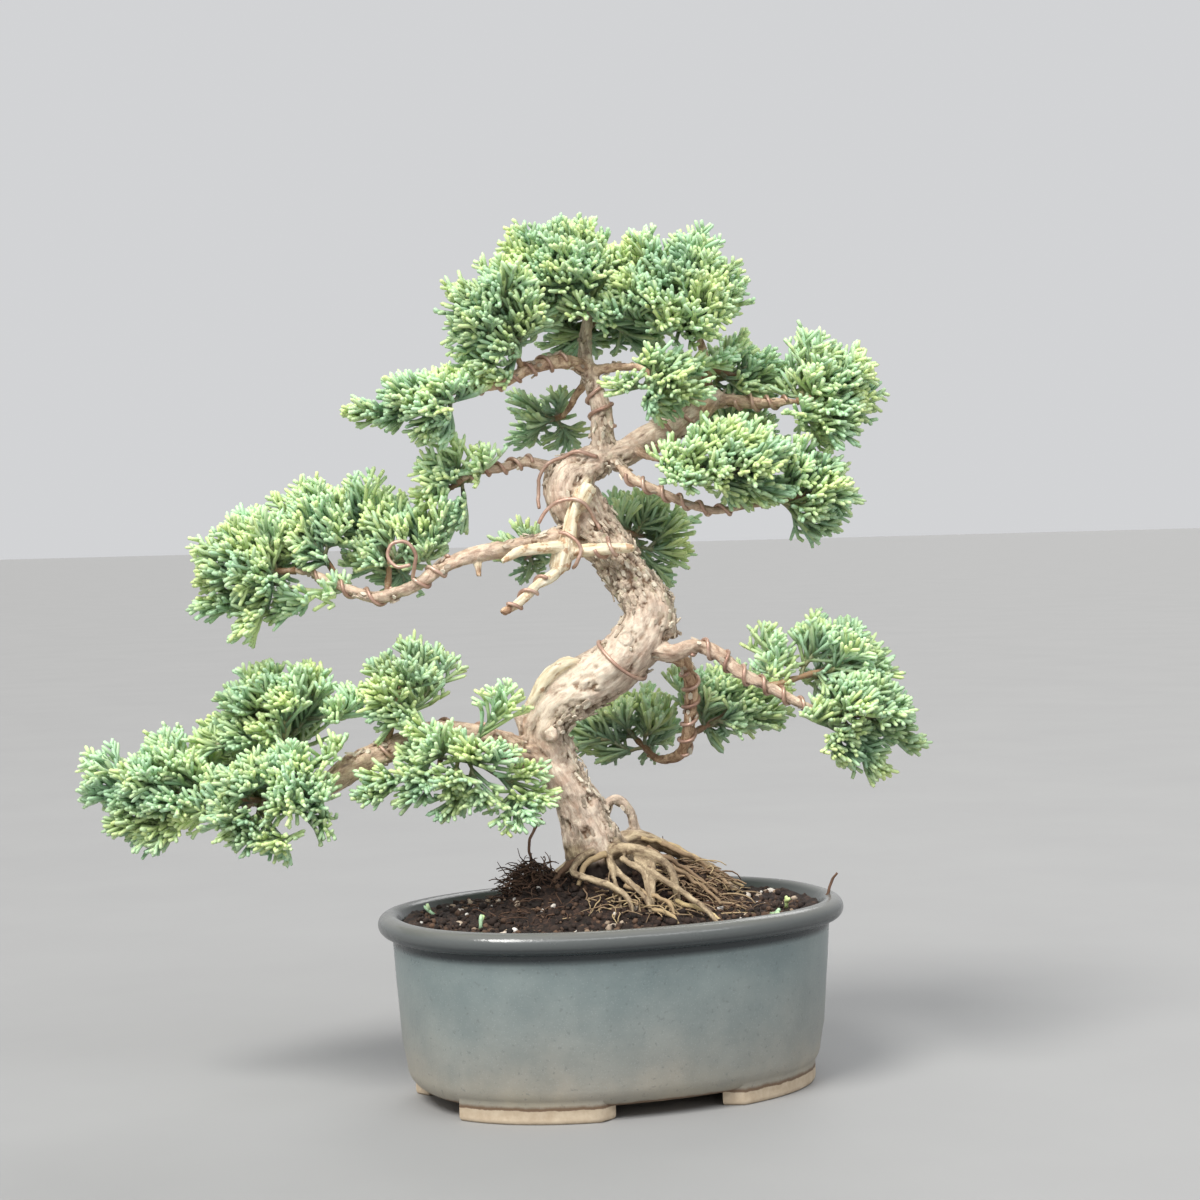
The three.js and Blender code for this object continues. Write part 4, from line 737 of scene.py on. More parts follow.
BARK_COLOURS = {
    "live": (
        (0.33, 0.24, 0.165, 0.12),
        (0.43, 0.52, 0.39, 0.295),
        (0.51, 0.7, 0.555, 0.44),
        (0.59, 0.84, 0.71, 0.56),
        (0.67, 0.93, 0.84, 0.7),
    ),
    "cream": ((0.34, 0.6, 0.46, 0.35), (0.47, 0.8, 0.68, 0.54), (0.65, 0.9, 0.81, 0.67)),
    "rough": (
        (0.34, 0.23, 0.17, 0.125),
        (0.47, 0.48, 0.38, 0.29),
        (0.57, 0.68, 0.56, 0.43),
        (0.68, 0.88, 0.79, 0.63),
    ),
    "brown": ((0.33, 0.13, 0.06, 0.032), (0.47, 0.39, 0.23, 0.135), (0.62, 0.74, 0.53, 0.345)),
    "root": ((0.34, 0.11, 0.07, 0.042), (0.48, 0.32, 0.24, 0.15), (0.64, 0.56, 0.45, 0.29)),
    "dead": ((0.3, 0.5, 0.36, 0.2), (0.44, 0.8, 0.67, 0.45), (0.62, 0.92, 0.85, 0.66)),
}
GREYISH_BARK = (0.5, 0.435, 0.36)
REDDISH_BARK = (0.56, 0.385, 0.285)
OLD_BARK = (0.45, 0.24, 0.12)
LICHEN = (0.38, 0.39, 0.23)
WET_SOIL = (0.03, 0.019, 0.013)
GRAIN_TINTS = ((0.32, 0.68, 0.62, 0.58), (0.5, 1.0, 1.0, 1.0), (0.7, 1.12, 1.1, 1.06))
# Painted shade: these tints darken the bark in its hollows.
HOLLOW_SHADE_TINTS = ((0.15, 1, 1, 1), (0.9, 0.4, 0.31, 0.25))


def live_bark(paint, grain, mottles, streaks):
    colour = paint.ramp(mottles, BARK_COLOURS["live"])
    greyish = paint.mask(paint.cloud(grain, 0.2, 3.0), (0.42, 0.0), (0.66, 0.45))
    colour = paint.mixed(greyish, colour, GREYISH_BARK)
    reddish = paint.mask(paint.cloud(grain, 0.33, 5.0, 0.65), (0.5, 0.0), (0.62, 0.65))
    colour = paint.mixed(reddish, colour, REDDISH_BARK)
    return paint.mixed(0.7, colour, paint.ramp(streaks, GRAIN_TINTS), "MULTIPLY")


def bleached_wood(paint, grain, streaks):
    remains = paint.mask(paint.cloud(grain, 0.33, 3.0), (0.57, 0.0), (0.64, 0.8))
    return paint.mixed(remains, paint.ramp(streaks, BARK_COLOURS["dead"]), OLD_BARK)


def bark_material():
    paint = Paint("peeling_bark", 0.8)
    grain = paint.vector("grain")
    streaks = paint.cloud(paint.stretched(grain, (0.14, 0.85, 0.85)), 1.0, 6.0, 0.62, 0.5)
    mottles = paint.cloud(paint.stretched(grain, (0.4, 0.8, 0.8)), 0.62, 6.0, 0.68, 0.6)
    plates = paint.cloud(grain, 0.55, 5.0, 0.68)
    spots = paint.mask(paint.cloud(grain, 0.42, 3.0), (0.56, 0.0), (0.66, 0.55))
    layers = (
        (paint.value("cream"), paint.ramp(mottles, BARK_COLOURS["cream"])),
        (paint.value("rough"), paint.ramp(plates, BARK_COLOURS["rough"])),
        (paint.result(spots, "MULTIPLY", paint.value("rough")), LICHEN),
        (paint.value("brown"), paint.ramp(mottles, BARK_COLOURS["brown"])),
        (paint.value("root"), paint.ramp(mottles, BARK_COLOURS["root"])),
        (paint.value("dead"), bleached_wood(paint, grain, streaks)),
    )
    colour = live_bark(paint, grain, mottles, streaks)
    for share, layer in layers:
        colour = paint.mixed(share, colour, layer)
    # Painted shade: the colour is darkened where the bark lies lower than its evened-out height.
    shade = paint.ramp(paint.value("hollow"), HOLLOW_SHADE_TINTS)
    colour = paint.mixed(1.0, colour, shade, "MULTIPLY")
    paint.set("Base Color", paint.mixed(paint.value("soiled"), colour, WET_SOIL))
    fine = paint.bump(streaks, 0.5, 0.0006)
    paint.set("Normal", paint.bump(mottles, 0.5, 0.0009, fine))
    return paint.material


# Leaves go from dark green at a shoot's foot to its pale tip. Leaves deep in a pad take the darker
# ramp as painted shade, and those on its outside and top take the sunny ramp as painted light, partly
# also the paler new growth there.
SHADED_INNER_LEAVES = ((0.0, 0.14, 0.215, 0.12), (0.5, 0.34, 0.48, 0.27), (1.0, 0.52, 0.7, 0.38))
SUNNY_LEAVES = ((0.0, 0.28, 0.41, 0.22), (0.5, 0.55, 0.74, 0.42), (1.0, 0.72, 0.89, 0.51))
LEAF_TINTS = ((0.2, 0.86, 1.0, 1.14), (0.5, 1.0, 1.0, 1.0), (0.85, 1.16, 1.05, 0.76))
TWIG_COLOURS = ((0.2, 0.2, 0.1, 0.05), (0.8, 0.4, 0.25, 0.14))
LEAF_WAX = (0.5, 0.6, 0.45)


def foliage_material():
    paint = Paint("scale_leaves", 0.5)
    tip = paint.value("tip")
    tint = paint.value("tint")
    # Painted shade and light: the outer share mixes the darker inner leaves with the sunny ones,
    # partly also paler new growth.
    inner = paint.ramp(tip, SHADED_INNER_LEAVES)
    colour = paint.mixed(paint.value("outer"), inner, paint.ramp(tip, SUNNY_LEAVES))
    colour = paint.mixed(0.85, colour, paint.ramp(tint, LEAF_TINTS), "MULTIPLY")
    colour = paint.mixed(paint.value("woody"), colour, paint.ramp(tint, TWIG_COLOURS))
    speckle = paint.cloud(paint.places(), 1400.0, 2.0)
    colour = paint.mixed(paint.mask(speckle, (0.5, 0.0), (0.8, 0.3)), colour, LEAF_WAX)
    paint.set("Base Color", colour)
    paint.set("Subsurface Weight", 0.08)
    paint.set("Subsurface Radius", (0.0008, 0.0012, 0.0004))
    paint.set("Normal", paint.bump(speckle, 0.4, 0.0003))
    return paint.material


GLAZE_COLOURS = (
    (0.05, 0.37, 0.335, 0.262),
    (0.16, 0.3, 0.283, 0.24),
    (0.3, 0.245, 0.253, 0.232),
    (0.5, 0.212, 0.24, 0.232),
    (0.7, 0.195, 0.235, 0.233),
    (0.86, 0.18, 0.225, 0.228),
)
GLAZE_TINTS = ((0.35, 0.88, 0.9, 0.9), (0.65, 1.1, 1.08, 1.06))
PALE_SPECK = (0.4, 0.43, 0.42)
DARK_SPOT = (0.1, 0.11, 0.11)
RIM_COLOURS = (
    (0.91, 0.065, 0.072, 0.073),
    (0.96, 0.095, 0.103, 0.101),
    (0.99, 0.15, 0.152, 0.142),
)
RIM_START = 56.4
# Glaze pooled under the rim roll, darkened further as painted shadow under the roll.
POOLED_GLAZE_AND_SHADOW_COLOUR = (0.014, 0.019, 0.023)
# Painted shade: the colour of the pot's inside above its floor.
INSIDE_SHADE_COLOUR = (0.07, 0.078, 0.074)
CLAY_COLOURS = ((0.3, 0.46, 0.36, 0.25), (0.7, 0.58, 0.48, 0.35))
GLAZE_EDGE_COLOUR = (0.15, 0.085, 0.045)
BARE_CLAY_HEIGHT = 3.6
GLAZE_EDGE_HEIGHT = 4.4


def wall_glaze(paint, places, height, fine):
    """The wall's colours, which drift up and down in clouds."""
    clouds = paint.result(paint.cloud(places, 24.0), "SUBTRACT", 0.5)
    drifted = paint.result(height, "ADD", paint.result(clouds, "MULTIPLY", 26.0))
    wall = paint.ramp(paint.result(drifted, "DIVIDE", POT_HEIGHT), GLAZE_COLOURS)
    blotches = paint.ramp(paint.cloud(places, 60.0, 3.0), GLAZE_TINTS)
    wall = paint.mixed(1.0, wall, blotches, "MULTIPLY")
    specks = paint.result(paint.mask(fine, (0.1, 1.0), (0.28, 0.0)), "MULTIPLY", 0.22)
    wall = paint.mixed(specks, wall, PALE_SPECK)
    spots = paint.mask(paint.cloud(places, 620.0, 3.0), (0.29, 0.4), (0.38, 0.0))
    return paint.mixed(spots, wall, DARK_SPOT)


def bare_foot(paint, places, height, glazed):
    """The glaze above an uneven edge, with bare clay below it."""
    drips = paint.result(paint.cloud(places, 180.0, 3.0), "MULTIPLY", 1.6)
    edge = paint.result(height, "SUBTRACT", drips)
    for start, width, share, colour in (
        (GLAZE_EDGE_HEIGHT, 0.9, 0.9, GLAZE_EDGE_COLOUR),
        (BARE_CLAY_HEIGHT, 0.25, 1.0, paint.ramp(paint.cloud(places, 260.0, 3.0), CLAY_COLOURS)),
    ):
        above = paint.result(edge, "SUBTRACT", start)
        glazed = paint.mixed(paint.mask(above, (0.0, share), (width, 0.0)), glazed, colour)
    return glazed


def glaze_material():
    paint = Paint("reactive_glaze", 0.3)
    places = paint.places()
    fine = paint.cells(places, 1100.0)
    up = paint.node("SeparateXYZ", {0: places}).outputs["Z"]
    height = paint.result(up, "MULTIPLY", 1000.0)
    share = paint.result(height, "DIVIDE", POT_HEIGHT)
    wall = wall_glaze(paint, places, height, fine)
    over_rim = paint.result(height, "SUBTRACT", RIM_START)
    rim = paint.mask(over_rim, (0.0, 0.0), (0.8, 1.0))
    glazed = paint.mixed(rim, wall, paint.ramp(share, RIM_COLOURS))
    # Partly pooled glaze, partly painted shadow: a dark band under the rim roll.
    band = paint.mask(share, (0.825, 0.0), (0.855, 0.9), (0.9, 1.0), (0.93, 0.0))
    glazed = bare_foot(paint, places, height, paint.mixed(band, glazed, POOLED_GLAZE_AND_SHADOW_COLOUR))
    # Painted shade: the pot's inward-facing wall above its floor is darkened.
    paint.set("Base Color", paint.mixed(paint.value("inside"), glazed, INSIDE_SHADE_COLOUR))
    matt = paint.mask(share, (0.06, 0.85), (0.12, 0.5), (0.4, 0.4), (0.8, 0.3), (0.92, 0.17))
    smear = paint.mask(paint.cloud(places, 60.0), (0.3, 0.1), (0.7, 0.6))
    paint.set("Roughness", paint.mixed(0.25, matt, smear))
    ripple = paint.bump(paint.cloud(places, 110.0, 3.0), 0.25, 0.0008)
    paint.set("Normal", paint.bump(fine, 0.08, 0.0003, ripple))
    return paint.material


PEAT_COLOURS = (
    (0.32, 0.006, 0.004, 0.003),
    (0.5, 0.024, 0.014, 0.01),
    (0.64, 0.07, 0.038, 0.025),
    (0.8, 0.15, 0.09, 0.055),
)
CRUMB_COLOURS = ((0.0, 0.01, 0.006, 0.004), (0.6, 0.035, 0.02, 0.014), (1.0, 0.14, 0.08, 0.048))
GRIT_COLOURS = ((0.0, 0.25, 0.17, 0.11), (0.5, 0.5, 0.4, 0.3), (1.0, 0.85, 0.83, 0.78))
FLAKE_COLOURS = ((0.0, 0.3, 0.24, 0.18), (0.45, 0.58, 0.48, 0.37), (1.0, 0.85, 0.77, 0.62))
ROOT_COLOURS = (
    (0.0, 0.03, 0.018, 0.012),
    (0.35, 0.14, 0.075, 0.045),
    (0.7, 0.38, 0.27, 0.16),
    (1.0, 0.68, 0.53, 0.28),
)
WIRE_COLOURS = ((0.3, 0.33, 0.19, 0.14), (0.52, 0.54, 0.35, 0.27), (0.75, 0.78, 0.6, 0.49))
MESH_COLOURS = ((0.3, 0.012, 0.012, 0.014), (0.7, 0.04, 0.04, 0.045))
FLOOR_COLOURS = ((0.3, 0.3, 0.3, 0.298), (0.7, 0.315, 0.315, 0.312))


def cloudy_material(name, roughness, pattern, stops, strength=0, distance=0):
    """A material that one cloudy pattern, of (scale, detail, roughness), colours and roughens."""
    paint = Paint(name, roughness)
    clouds = paint.cloud(paint.places(), *pattern)
    paint.set("Base Color", paint.ramp(clouds, stops))
    if strength:
        paint.set("Normal", paint.bump(clouds, strength, distance))
    return paint.material


def tinted_material(name, stops, scale):
    """The material of a piece of many small shapes."""
    paint = Paint(name, 0.9)
    grainy = paint.cloud(paint.places(), scale)
    shaded = paint.mask(grainy, (0.3, 0.6), (0.7, 1.1))
    colour = paint.mixed(0.7, paint.ramp(paint.value("tint"), stops), shaded, "MULTIPLY")
    paint.set("Base Color", colour)
    paint.set("Normal", paint.bump(grainy, 0.5, 0.0006))
    return paint.material


def wire_material():
    paint = Paint("copper_brown_wire", 0.45, 0.5)
    places = paint.places()
    paint.set("Base Color", paint.ramp(paint.cloud(places, 160.0), WIRE_COLOURS))
    scuffs = paint.cloud(places, 900.0, 3.0)
    paint.set("Roughness", paint.mask(scuffs, (0.3, 0.34), (0.7, 0.62)))
    paint.set("Normal", paint.bump(scuffs, 0.2, 0.0002))
    return paint.material


# The wood.

LIMB_LINES = {name: smooth_line(stations, 1.0) for name, stations in {**LIMBS, **KNOBS}.items()}
NEAREST_BLOCK = 4000


def raw_wood():
    shapes = []
    for line, _ in LIMB_LINES.values():
        thick = line[:, 3].max() > THICK_LIMB
        corners = 24 if thick else 12
        fluted = 0.04 if thick else 0.07
        shapes.append(tube(line[:, :3], line[:, 3], corners, fluted))
    return joined(shapes)


def nearest_limb(points):
    """For each point the limb whose skin is nearest, as its number, its radius there, the place
    in the limb's own frame and the limb's direction."""
    samples = []
    for index, (line, along) in enumerate(LIMB_LINES.values()):
        forwards, sides, ups = frames_along(line[:, :3])
        number = np.full((len(line), 1), index)
        samples.append(np.hstack([line, along[:, None], sides, ups, forwards, number]))
    samples = np.vstack(samples)
    chosen = []
    for start in range(0, len(points), NEAREST_BLOCK):
        block = points[start : start + NEAREST_BLOCK]
        apart = np.linalg.norm(block[:, None] - samples[None, :, :3], axis=2) - samples[None, :, 3]
        chosen.append(apart.argmin(axis=1))
    found = samples[np.concatenate(chosen)]
    offset = points - found[:, :3]
    across = np.einsum("ij,ij->i", offset, found[:, 5:8])
    above = np.einsum("ij,ij->i", offset, found[:, 8:11])
    number = found[:, 14].astype(int)
    grain = np.stack([found[:, 4] + 37 * number, across, above], axis=1)
    return number, found[:, 3], grain, found[:, 11:14]


def share_near(points, places):
    """How far each point is inside soft balls of (right, back, up, radius), from 0 to 1."""
    share = np.zeros(len(points))
    for *place, radius in places:
        away = np.linalg.norm(points - place, axis=1) / radius
        share = np.maximum(share, np.clip(2.2 - 2 * away, 0, 1))
    return share


def share_of_limb(shares, number):
    """For each point the share that its limb has in a table of limbs."""
    return np.array([shares.get(name, 0) for name in LIMB_LINES], float)[number]


def scattered(grain, radius):
    """Rough patches all over the live wood, from 0 to 0.8."""
    patches = [noise.noise(Vector(place) / 6) for place in grain.tolist()]
    return np.clip(3.2 * np.array(patches) - 0.5, 0, 0.8) * (radius > 1.2)


def blurred(mesh, values, rounds):
    """Values of the mesh's points, evened out along its edges."""
    edges = np.empty(len(mesh.edges) * 2, np.int32)
    mesh.edges.foreach_get("vertices", edges)
    first, second = edges.reshape(-1, 2).T
    degree = np.bincount(edges, minlength=len(values)) + 1
    for _ in range(rounds):
        total = values.copy()
        np.add.at(total, first, values[second])
        np.add.at(total, second, values[first])
        values = total / degree
    return values


def smooth_bark(along, across, above, size):
    lump = noise.noise(Vector((along / 9, across / 5, above / 5)))
    wart = noise.noise(Vector((along / 2.6, across / 2, above / 2)))
    ridge = 1 - 2 * abs(noise.noise(Vector((along / 11, across / 1.6, above / 1.6))))
    return (0.35 + 0.65 * size) * (size * lump + 0.45 * wart + 0.22 * ridge)


def plated_bark(along, across, above, size):
    """Bark in loose plates, each at its own height, with cracks between them."""
    apart, cells = noise.voronoi(Vector((along / 4.2, across / 2.6, above / 2.6)))
    crack = min(1.0, (apart[1] - apart[0]) / 0.22) - 1
    plate = noise.cell(10 * cells[0])
    return (0.3 + 0.7 * size) * (1.3 * plate - 0.5 + 0.7 * crack)


def bare_wood(along, across, above):
    ridge = 1 - 2 * abs(noise.noise(Vector((along / 8, across / 1.1, above / 1.1))))
    return 0.22 * ridge + 0.55 * noise.noise(Vector((along / 4, across / 2.5, above / 2.5)))


def bark_height(place, radius, dead, rough):
    """How far the bark stands out of the smooth limb."""
    if dead > 0.5:
        return bare_wood(*place)
    size = min(1.0, radius / 7)
    height = smooth_bark(*place, size)
    if rough > 0:
        height += rough * (plated_bark(*place, size) - height)
    return height


def smooth_wood(material):
    points, faces = raw_wood()
    piece = piece_of("tree", points * MM, faces, material)
    remesh = piece.modifiers.new("remesh", "REMESH")
    remesh.mode = "VOXEL"
    remesh.voxel_size = WOOD_VOXEL * MM
    smooth = piece.modifiers.new("smooth", "SMOOTH")
    smooth.factor = 0.5
    smooth.iterations = 4
    apply_modifiers(piece)
    return piece


def bark_shares(points, number, radius, grain):
    """How dead, root-like, brown and rough the bark is at each point."""
    dead = share_of_limb(dict.fromkeys(DEAD_LIMBS, 1), number)
    root = share_of_limb(dict.fromkeys(ROOT_LIMBS, 1), number)
    rough = np.maximum(share_near(points, ROUGH_BARK), scattered(grain, radius))
    return dead, root, share_of_limb(BROWN_LIMBS, number), rough * (1 - dead) * (1 - root)


def colour_bark(mesh, points, number, heights, dead, root, brown, rough):
    dark = share_near(points, DARK_KNOTS)
    buried = np.clip((SOIL_LINE - points[:, 2]) / 3, 0, 1)
    on_trunk = number == list(LIMB_LINES).index("trunk")
    set_values(
        mesh,
        dead=blurred(mesh, dead, 5) * (1 - dark),
        root=np.clip(blurred(mesh, root, 8) + share_near(points, EARTHY_BARK), 0, 1),
        brown=np.clip(blurred(mesh, brown, 8) + dark, 0, 1),
        rough=blurred(mesh, rough, 3),
        cream=0.85 * share_near(points, CREAM_BARK),
        soiled=blurred(mesh, buried * on_trunk, 2),
        # Painted shade in the bark's hollows: how far each point lies below its evened-out height.
        hollow=np.clip((blurred(mesh, heights, 10) - heights) / 0.7 + 0.12, 0, 1),
    )


def wood_piece(material):
    """The tree's wood. Gives its surface and the places for what lies on it."""
    piece = smooth_wood(material)
    mesh = piece.data
    points = vectors_of(mesh.vertices, "co") / MM
    outward = vectors_of(mesh.vertex_normals, "vector")
    number, radius, grain, forwards = nearest_limb(points)
    shares = bark_shares(points, number, radius, grain)
    dead, _, _, rough = shares
    heights = np.array([bark_height(*values) for values in zip(grain.tolist(), radius, dead, rough)])
    points += outward * heights[:, None]
    move_points(mesh, tree_place(points))
    mesh.shade_smooth()
    grains = mesh.attributes.new("grain", "FLOAT_VECTOR", "POINT")
    grains.data.foreach_set("vector", grain.astype(np.float32).ravel())
    colour_bark(mesh, points, number, heights, *shares)
    settle(piece, "bark", "tree_wood")
    faces = [list(polygon.vertices) for polygon in mesh.polygons]
    return BVHTree.FromPolygons(points.tolist(), faces), (points, outward, forwards, rough)


def flake(place, outward, along, pick):
    """A thin slab of bark, one end of which has come away."""
    lift = pick.uniform(0.05, 0.5)
    across = unit(np.cross(outward, along))
    along = unit(np.cross(across, outward)) * math.cos(lift) + outward * math.sin(lift)
    up = np.cross(along, across)
    length, width, depth = pick.uniform(1.2, 4.2), pick.uniform(0.7, 1.9), pick.uniform(0.25, 0.5)
    corners = []
    for turn in ring_angles(6):
        share = pick.uniform(0.7, 1.1)
        spoke = along * (math.cos(turn) * length / 2) + across * (math.sin(turn) * width / 2)
        corners.append(place + share * spoke + along * 0.3 * length)
    points = np.array([corner + up * level for level in (depth, -0.15) for corner in corners])
    sides = [[corner, corner + 6, (corner + 1) % 6 + 6, (corner + 1) % 6] for corner in range(6)]
    return points, [list(range(6)), list(range(11, 5, -1)), *sides]


def flakes_piece(points, outward, forwards, rough):
    pick = random.Random(SEEDS["flakes"])
    flaky = [index for index in np.flatnonzero(rough > 0.25) if pick.random() < rough[index]]
    shapes = [
        flake(points[index], outward[index], forwards[index] * pick.choice((-1, 1)), pick)
        for index in pick.sample(flaky, min(len(flaky), FLAKES))
    ]
    tints = [pick.random() for _ in shapes]
    material = tinted_material("bark_flakes", FLAKE_COLOURS, 700.0)
    piece = tinted_piece("bark_flakes", shapes, tints, "bark", material, tree_place)
    piece.data.shade_flat()


# The training wires.


def evened(values):
    """Each value's mean with its two neighbours on either side."""
    return np.convolve(np.pad(values, 2, "edge"), np.ones(5) / 5, "valid")


def wound_points(surface, limb, start, end, turns, first_angle):
    """A wire wound on a limb, from an angle that is 0 in front, lying on the bark."""
    line, along = LIMB_LINES[limb]
    shares = np.linspace(start, end, max(12, round(turns * 22)))
    *centres, radii = (np.interp(shares * along[-1], along, column) for column in line.T)
    centres = np.stack(centres, axis=1)
    forwards = unit(np.gradient(centres, axis=0))
    sides = unit(np.cross(forwards, (0, -1, 0)))
    angles = first_angle + np.linspace(0, turns, len(shares)) * 2 * math.pi
    outward = spokes(angles, np.cross(sides, forwards), sides)
    reaches = []
    for centre, radius, way in zip(centres, radii, outward):
        reach = radius + 0.5
        outside = Vector(centre + way * (radius + 5))
        hit, _, _, distance = surface.ray_cast(outside, Vector(-way), 2 * radius + 8)
        if hit is not None:
            reach = max(0.7 * reach, radius + 5 - distance)
        reaches.append(reach)
    widest = np.maximum.reduce([np.roll(reaches, shift) for shift in (-1, 0, 1)])
    widest[[0, -1]] = reaches[0], reaches[-1]
    return centres + outward * (evened(widest) + WIRE_LIFT)[:, None]


def laid_points(surface, places):
    """A wire along the listed places, which lies on the bark wherever it comes near it."""
    lifted = []
    for point in smooth_line(places, 1.0)[0]:
        spot, outward, _, _ = surface.find_nearest(Vector(point))
        if (Vector(point) - spot).dot(outward) < 1.8:
            point = np.array(spot + outward * WIRE_LIFT)
        lifted.append(point)
    return np.transpose([evened(column) for column in np.transpose(lifted)])


def wire_pieces(material, surface):
    wound = {name: wound_points(surface, *winding) for name, winding in WIRES.items()}
    laid = {name: laid_points(surface, places) for name, places in LAID_WIRES.items()}
    for name, points in {**wound, **laid}.items():
        line, _ = smooth_line([*points, *WIRE_TAILS.get(name, ())], 0.8)
        radii = np.full(len(line), WIRE_RADIUS)
        radii[[0, -1]] *= 0.8
        shape_points, faces = tube(line, radii, 8)
        piece = piece_of(f"{name}_coil", tree_place(shape_points), faces, material)
        settle(piece, "wire", name)


# The foliage. A cord is a shoot clad in scale leaves: square rings, each turned an eighth from
# the last, make the overlapping scales.


class Cords:
    """Cords that are all made at once."""

    def __init__(self, pick):
        self.pick = pick
        self.rows = {}

    def add(self, start, direction, length, radii, tips, woody, bend, rings):
        row = [*start, *direction, length, *radii, *tips, woody, *bend, self.pick.random()]
        self.rows.setdefault(rings, []).append(row)
        return lambda share: start + direction * length * share + bend * share * share

    def shape(self):
        shapes = [cord_group(rings, np.array(rows)) for rings, rows in sorted(self.rows.items())]
        points, faces = joined([shape[:2] for shape in shapes])
        return points, faces, np.concatenate([values for _, _, values in shapes])


def cord_faces(rings):
    faces = []
    for first, second, third, fourth in ring_faces(rings, 4):
        faces += [[first, second, fourth], [second, third, fourth]]
    end = 4 * rings
    faces += [[end - 4 + corner, end - 4 + (corner + 1) % 4, end] for corner in range(4)]
    return [*faces, [0, 2, 1], [0, 3, 2]]


def cord_rings(shares, start, direction, bend, length, first_radius, last_radius):
    """The corners of all the cords' rings, one row for each cord."""
    centres = (
        start[:, None]
        + direction[:, None] * (length * shares)[..., None]
        + bend[:, None] * (shares**2)[None, :, None]
    )
    side = unit(np.cross(direction, direction[:, [1, 2, 0]] + (0.1, 0.2, 0.3)))
    up = np.cross(direction, side)
    steps = np.arange(len(shares))
    angles = np.arange(4)[None] * math.pi / 2 + steps[:, None] * math.pi / 4
    swell = 1 + SCALE_SWELL * np.cos(steps * math.pi)
    swell[-1] = 0.9
    radii = (first_radius * (1 - shares) + last_radius * shares) * swell
    corners = radii[:, :, None, None] * spokes(angles[None], side[:, None, None], up[:, None, None])
    return (centres[:, :, None] + corners).reshape(len(start), -1, 3)


def cord_group(rings, rows):
    """The points and faces of cords with as many rings, and each point's tip, woody and tint."""
    start, direction, bend = rows[:, 0:3], rows[:, 3:6], rows[:, 12:15]
    length, first_radius, last_radius, first_tip, last_tip, woody = rows[:, 6:12].T[..., None]
    shares = np.linspace(0, 0.9, rings)
    corners = cord_rings(shares, start, direction, bend, length, first_radius, last_radius)
    ends = (start + direction * length + bend)[:, None]
    points = np.concatenate([corners, ends], axis=1)
    starts = points.shape[1] * np.arange(len(rows))
    faces = np.array(cord_faces(rings))[None] + starts[:, None, None]
    along = np.append(np.repeat(shares, 4), 1.0)
    tips = first_tip + (last_tip - first_tip) * along
    values = np.stack(np.broadcast_arrays(tips, woody, rows[:, 15:]), axis=-1)
    return points.reshape(-1, 3), faces.reshape(-1, 3).tolist(), values.reshape(-1, 3)


def leaning(direction, lean, turn):
    """A direction that leaves another by an angle, at a turn round it."""
    side = unit(np.cross(direction, (0.13, 0.21, 0.97)))
    up = np.cross(direction, side)
    away = side * math.cos(turn) + up * math.sin(turn)
    return unit(direction * math.cos(lean) + away * math.sin(lean))


def even_directions(count, twist):
    """Directions spread evenly over a ball."""
    levels = 1 - 2 * (np.arange(count) + 0.5) / count
    turns = twist + np.arange(count) * GOLDEN_ANGLE
    rings = np.sqrt(1 - levels**2)
    return np.stack([rings * np.cos(turns), rings * np.sin(turns), levels], axis=1)


